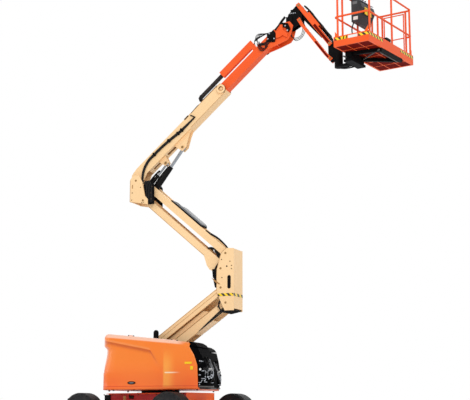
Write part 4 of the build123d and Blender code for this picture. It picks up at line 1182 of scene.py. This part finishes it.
# ---- studio ----
def build_studio(look):
    f = Finish("studio floor", specular=0.0)
    ground = f.done(f.mix(f.noise(0.6) * 0.04, look.floor, "#f4f4f4"), 0.9)
    mesh = bpy.data.meshes.new("studio_floor")
    corners = ((-1, -1), (1, -1), (1, 1), (-1, 1))
    mesh.from_pydata([(x * FLOOR_HALF, y * FLOOR_HALF, 0) for x, y in corners], [], [(0, 1, 2, 3)])
    mesh.materials.append(ground)
    made = [add("studio_floor", mesh)]
    aim = Vector((-1.0, -0.4, 3.0))
    for name, where, size, power in (("studio_key", (12.0, -12.0, 13.0), 9.0, 2100.0),
                                     ("studio_fill", (-13.0, -9.0, 7.0), 10.0, 900.0),
                                     ("studio_back", (-4.0, 13.0, 11.0), 9.0, 1200.0)):
        lamp = bpy.data.lights.new(name, "AREA")
        lamp.shape, lamp.size, lamp.energy = "SQUARE", size, power * look.light
        made.append(add(name, lamp))
        made[-1].location = where
        made[-1].rotation_euler = (aim - Vector(where)).to_track_quat("-Z", "Y").to_euler()
    world = bpy.data.worlds.new("studio")
    world.use_nodes = True
    world.node_tree.nodes.clear()
    g = Graph(world.node_tree)
    camera, glossy, through = (g.node("ShaderNodeLightPath", out=i) for i in (0, 3, 6))
    shown = (camera + glossy + through).math("MINIMUM", 1.0)
    soft = g.node("ShaderNodeBackground", {"Color": "#f3f6fb", "Strength": 1.15 * look.light})
    white = g.node("ShaderNodeBackground", {"Color": (1, 1, 1), "Strength": 1.0})
    g.feed(g.tree.nodes.new("ShaderNodeOutputWorld").inputs[0],
           g.node("ShaderNodeMixShader", {0: shown, 1: soft, 2: white}))
    bpy.context.scene.world = world
    bpy.context.scene.view_settings.view_transform = "Standard"


def build_camera(look):
    """Stands low and off the front right corner, looking up at the machine."""
    turn, swing = look.camera_turn, look.camera_aim
    right, ahead = Vector((cos(turn), sin(turn), 0)), Vector((-sin(turn), cos(turn), 0))
    head = ahead * cos(swing) + right * sin(swing)
    view = head * cos(look.camera_pitch) + Vector((0, 0, sin(look.camera_pitch)))
    lens = bpy.data.cameras.new("camera")
    lens.sensor_fit, lens.sensor_width, lens.lens = "HORIZONTAL", 36.0, look.camera_lens
    lens.clip_end = 500.0
    camera = add("camera", lens)
    camera.location = Vector((SWING_AXIS.x, SWING_AXIS.y, look.camera_height)) - ahead * look.camera_distance
    camera.rotation_euler = view.to_track_quat("-Z", "Y").to_euler()
    bpy.context.scene.camera = camera


# ---- the add-on ----
def colour(name, description, text):
    return bpy.props.FloatVectorProperty(name=name, description=description, default=tone(text),
                                         subtype="COLOR", size=3, min=0.0, max=1.0)


def number(name, description, default, **more):
    return bpy.props.FloatProperty(name=name, description=description, default=default, **more)


class BoomLiftLook(bpy.types.PropertyGroup):
    """Sizes and colours a user would change."""

    cream: colour("Boom cream", "Colour of the tower and the main boom", "#f8d19e")
    orange: colour("Frame orange", "Colour of the chassis and the platform", "#f5671f")
    fly: colour("Fly orange", "Colour of the fly section and the jib", "#f0602b")
    hood: colour("Hood orange", "Colour of the moulded hoods", "#f37c24")
    floor: colour("Floor", "Colour of the studio floor", "#ffffff")
    stripe: number("Stripe pitch", "A black and yellow pair on the tape", 0.11, min=0.02, unit="LENGTH")
    lugs: bpy.props.IntProperty(name="Tyre lugs", description="Bars round each half of a tyre", default=22,
                                min=8, max=40)
    light: number("Light", "Strength of the studio light", 0.62, min=0.0)
    camera_turn: number("Camera turn", "How far round from the right side", radians(37.8), subtype="ANGLE")
    camera_aim: number("Camera aim", "How far right of the swing axis", radians(3.65), subtype="ANGLE")
    camera_pitch: number("Camera pitch", "How far up it looks", radians(10.56), subtype="ANGLE")
    camera_distance: number("Camera distance", "From the swing axis", 22.17, unit="LENGTH")
    camera_height: number("Camera height", "Above the ground", 0.44, unit="LENGTH")
    camera_lens: number("Camera lens", "Focal length on a 36 mm sensor", 88.2)


class BoomStep:
    """What every step shares: it works on the scene's look and fails loudly."""

    bl_options = {"REGISTER", "UNDO"}

    def execute(self, context):
        for step in self.steps:
            step(context.scene.boom_lift)
        return {"FINISHED"}


def operator(name, label, says, *steps):
    """One step of the build as an operator, boom.<name>."""
    return type("BOOM_OT_" + name, (BoomStep, bpy.types.Operator),
                {"__doc__": says, "bl_idname": "boom." + name, "bl_label": label, "steps": steps})


OPERATORS = (
    operator("finish", "Finishes", "Give every node of the frame its finish", make_finishes, finish_frame),
    operator("chassis", "Chassis and wheels", "Build the wheels' treads and nuts and the chassis fittings",
             build_wheels, build_chassis),
    operator("turntable", "Turntable", "Build the turntable's trim, latches and machinery", build_turntable),
    operator("tower", "Tower", "Build the tower's marks, pins, guard and hoses", build_tower),
    operator("boom", "Main and fly boom", "Build the trim of the main and fly booms and the chain's links",
             build_main_boom, build_fly),
    operator("head", "Jib and platform", "Build the trim of the jib and the platform",
             build_jib, build_platform),
    operator("studio", "Studio", "Set up the floor, the light and the camera", build_studio, build_camera),
)


class BOOM_PT_panel(bpy.types.Panel):
    """The boom lift's sizes, colours and steps"""

    bl_label, bl_category = "Boom lift", "Boom lift"
    bl_space_type, bl_region_type = "VIEW_3D", "UI"

    def draw(self, context):
        for name in BoomLiftLook.__annotations__:
            self.layout.prop(context.scene.boom_lift, name)
        for step in OPERATORS:
            self.layout.operator(step.bl_idname)


CLASSES = (BoomLiftLook, *OPERATORS, BOOM_PT_panel)


def register():
    for item in CLASSES:
        bpy.utils.register_class(item)
    bpy.types.Scene.boom_lift = bpy.props.PointerProperty(type=BoomLiftLook)


def unregister():
    del bpy.types.Scene.boom_lift
    for item in reversed(CLASSES):
        bpy.utils.unregister_class(item)


def main():
    register()
    for step in OPERATORS:
        if getattr(bpy.ops.boom, step.bl_idname.split(".")[1])() != {"FINISHED"}:
            raise RuntimeError("the step " + step.bl_label + " did not finish")
    for obj in [o for o in bpy.data.objects if o.name.startswith("pattern_")]:
        bpy.data.objects.remove(obj)


if __name__ == "__main__":
    main()
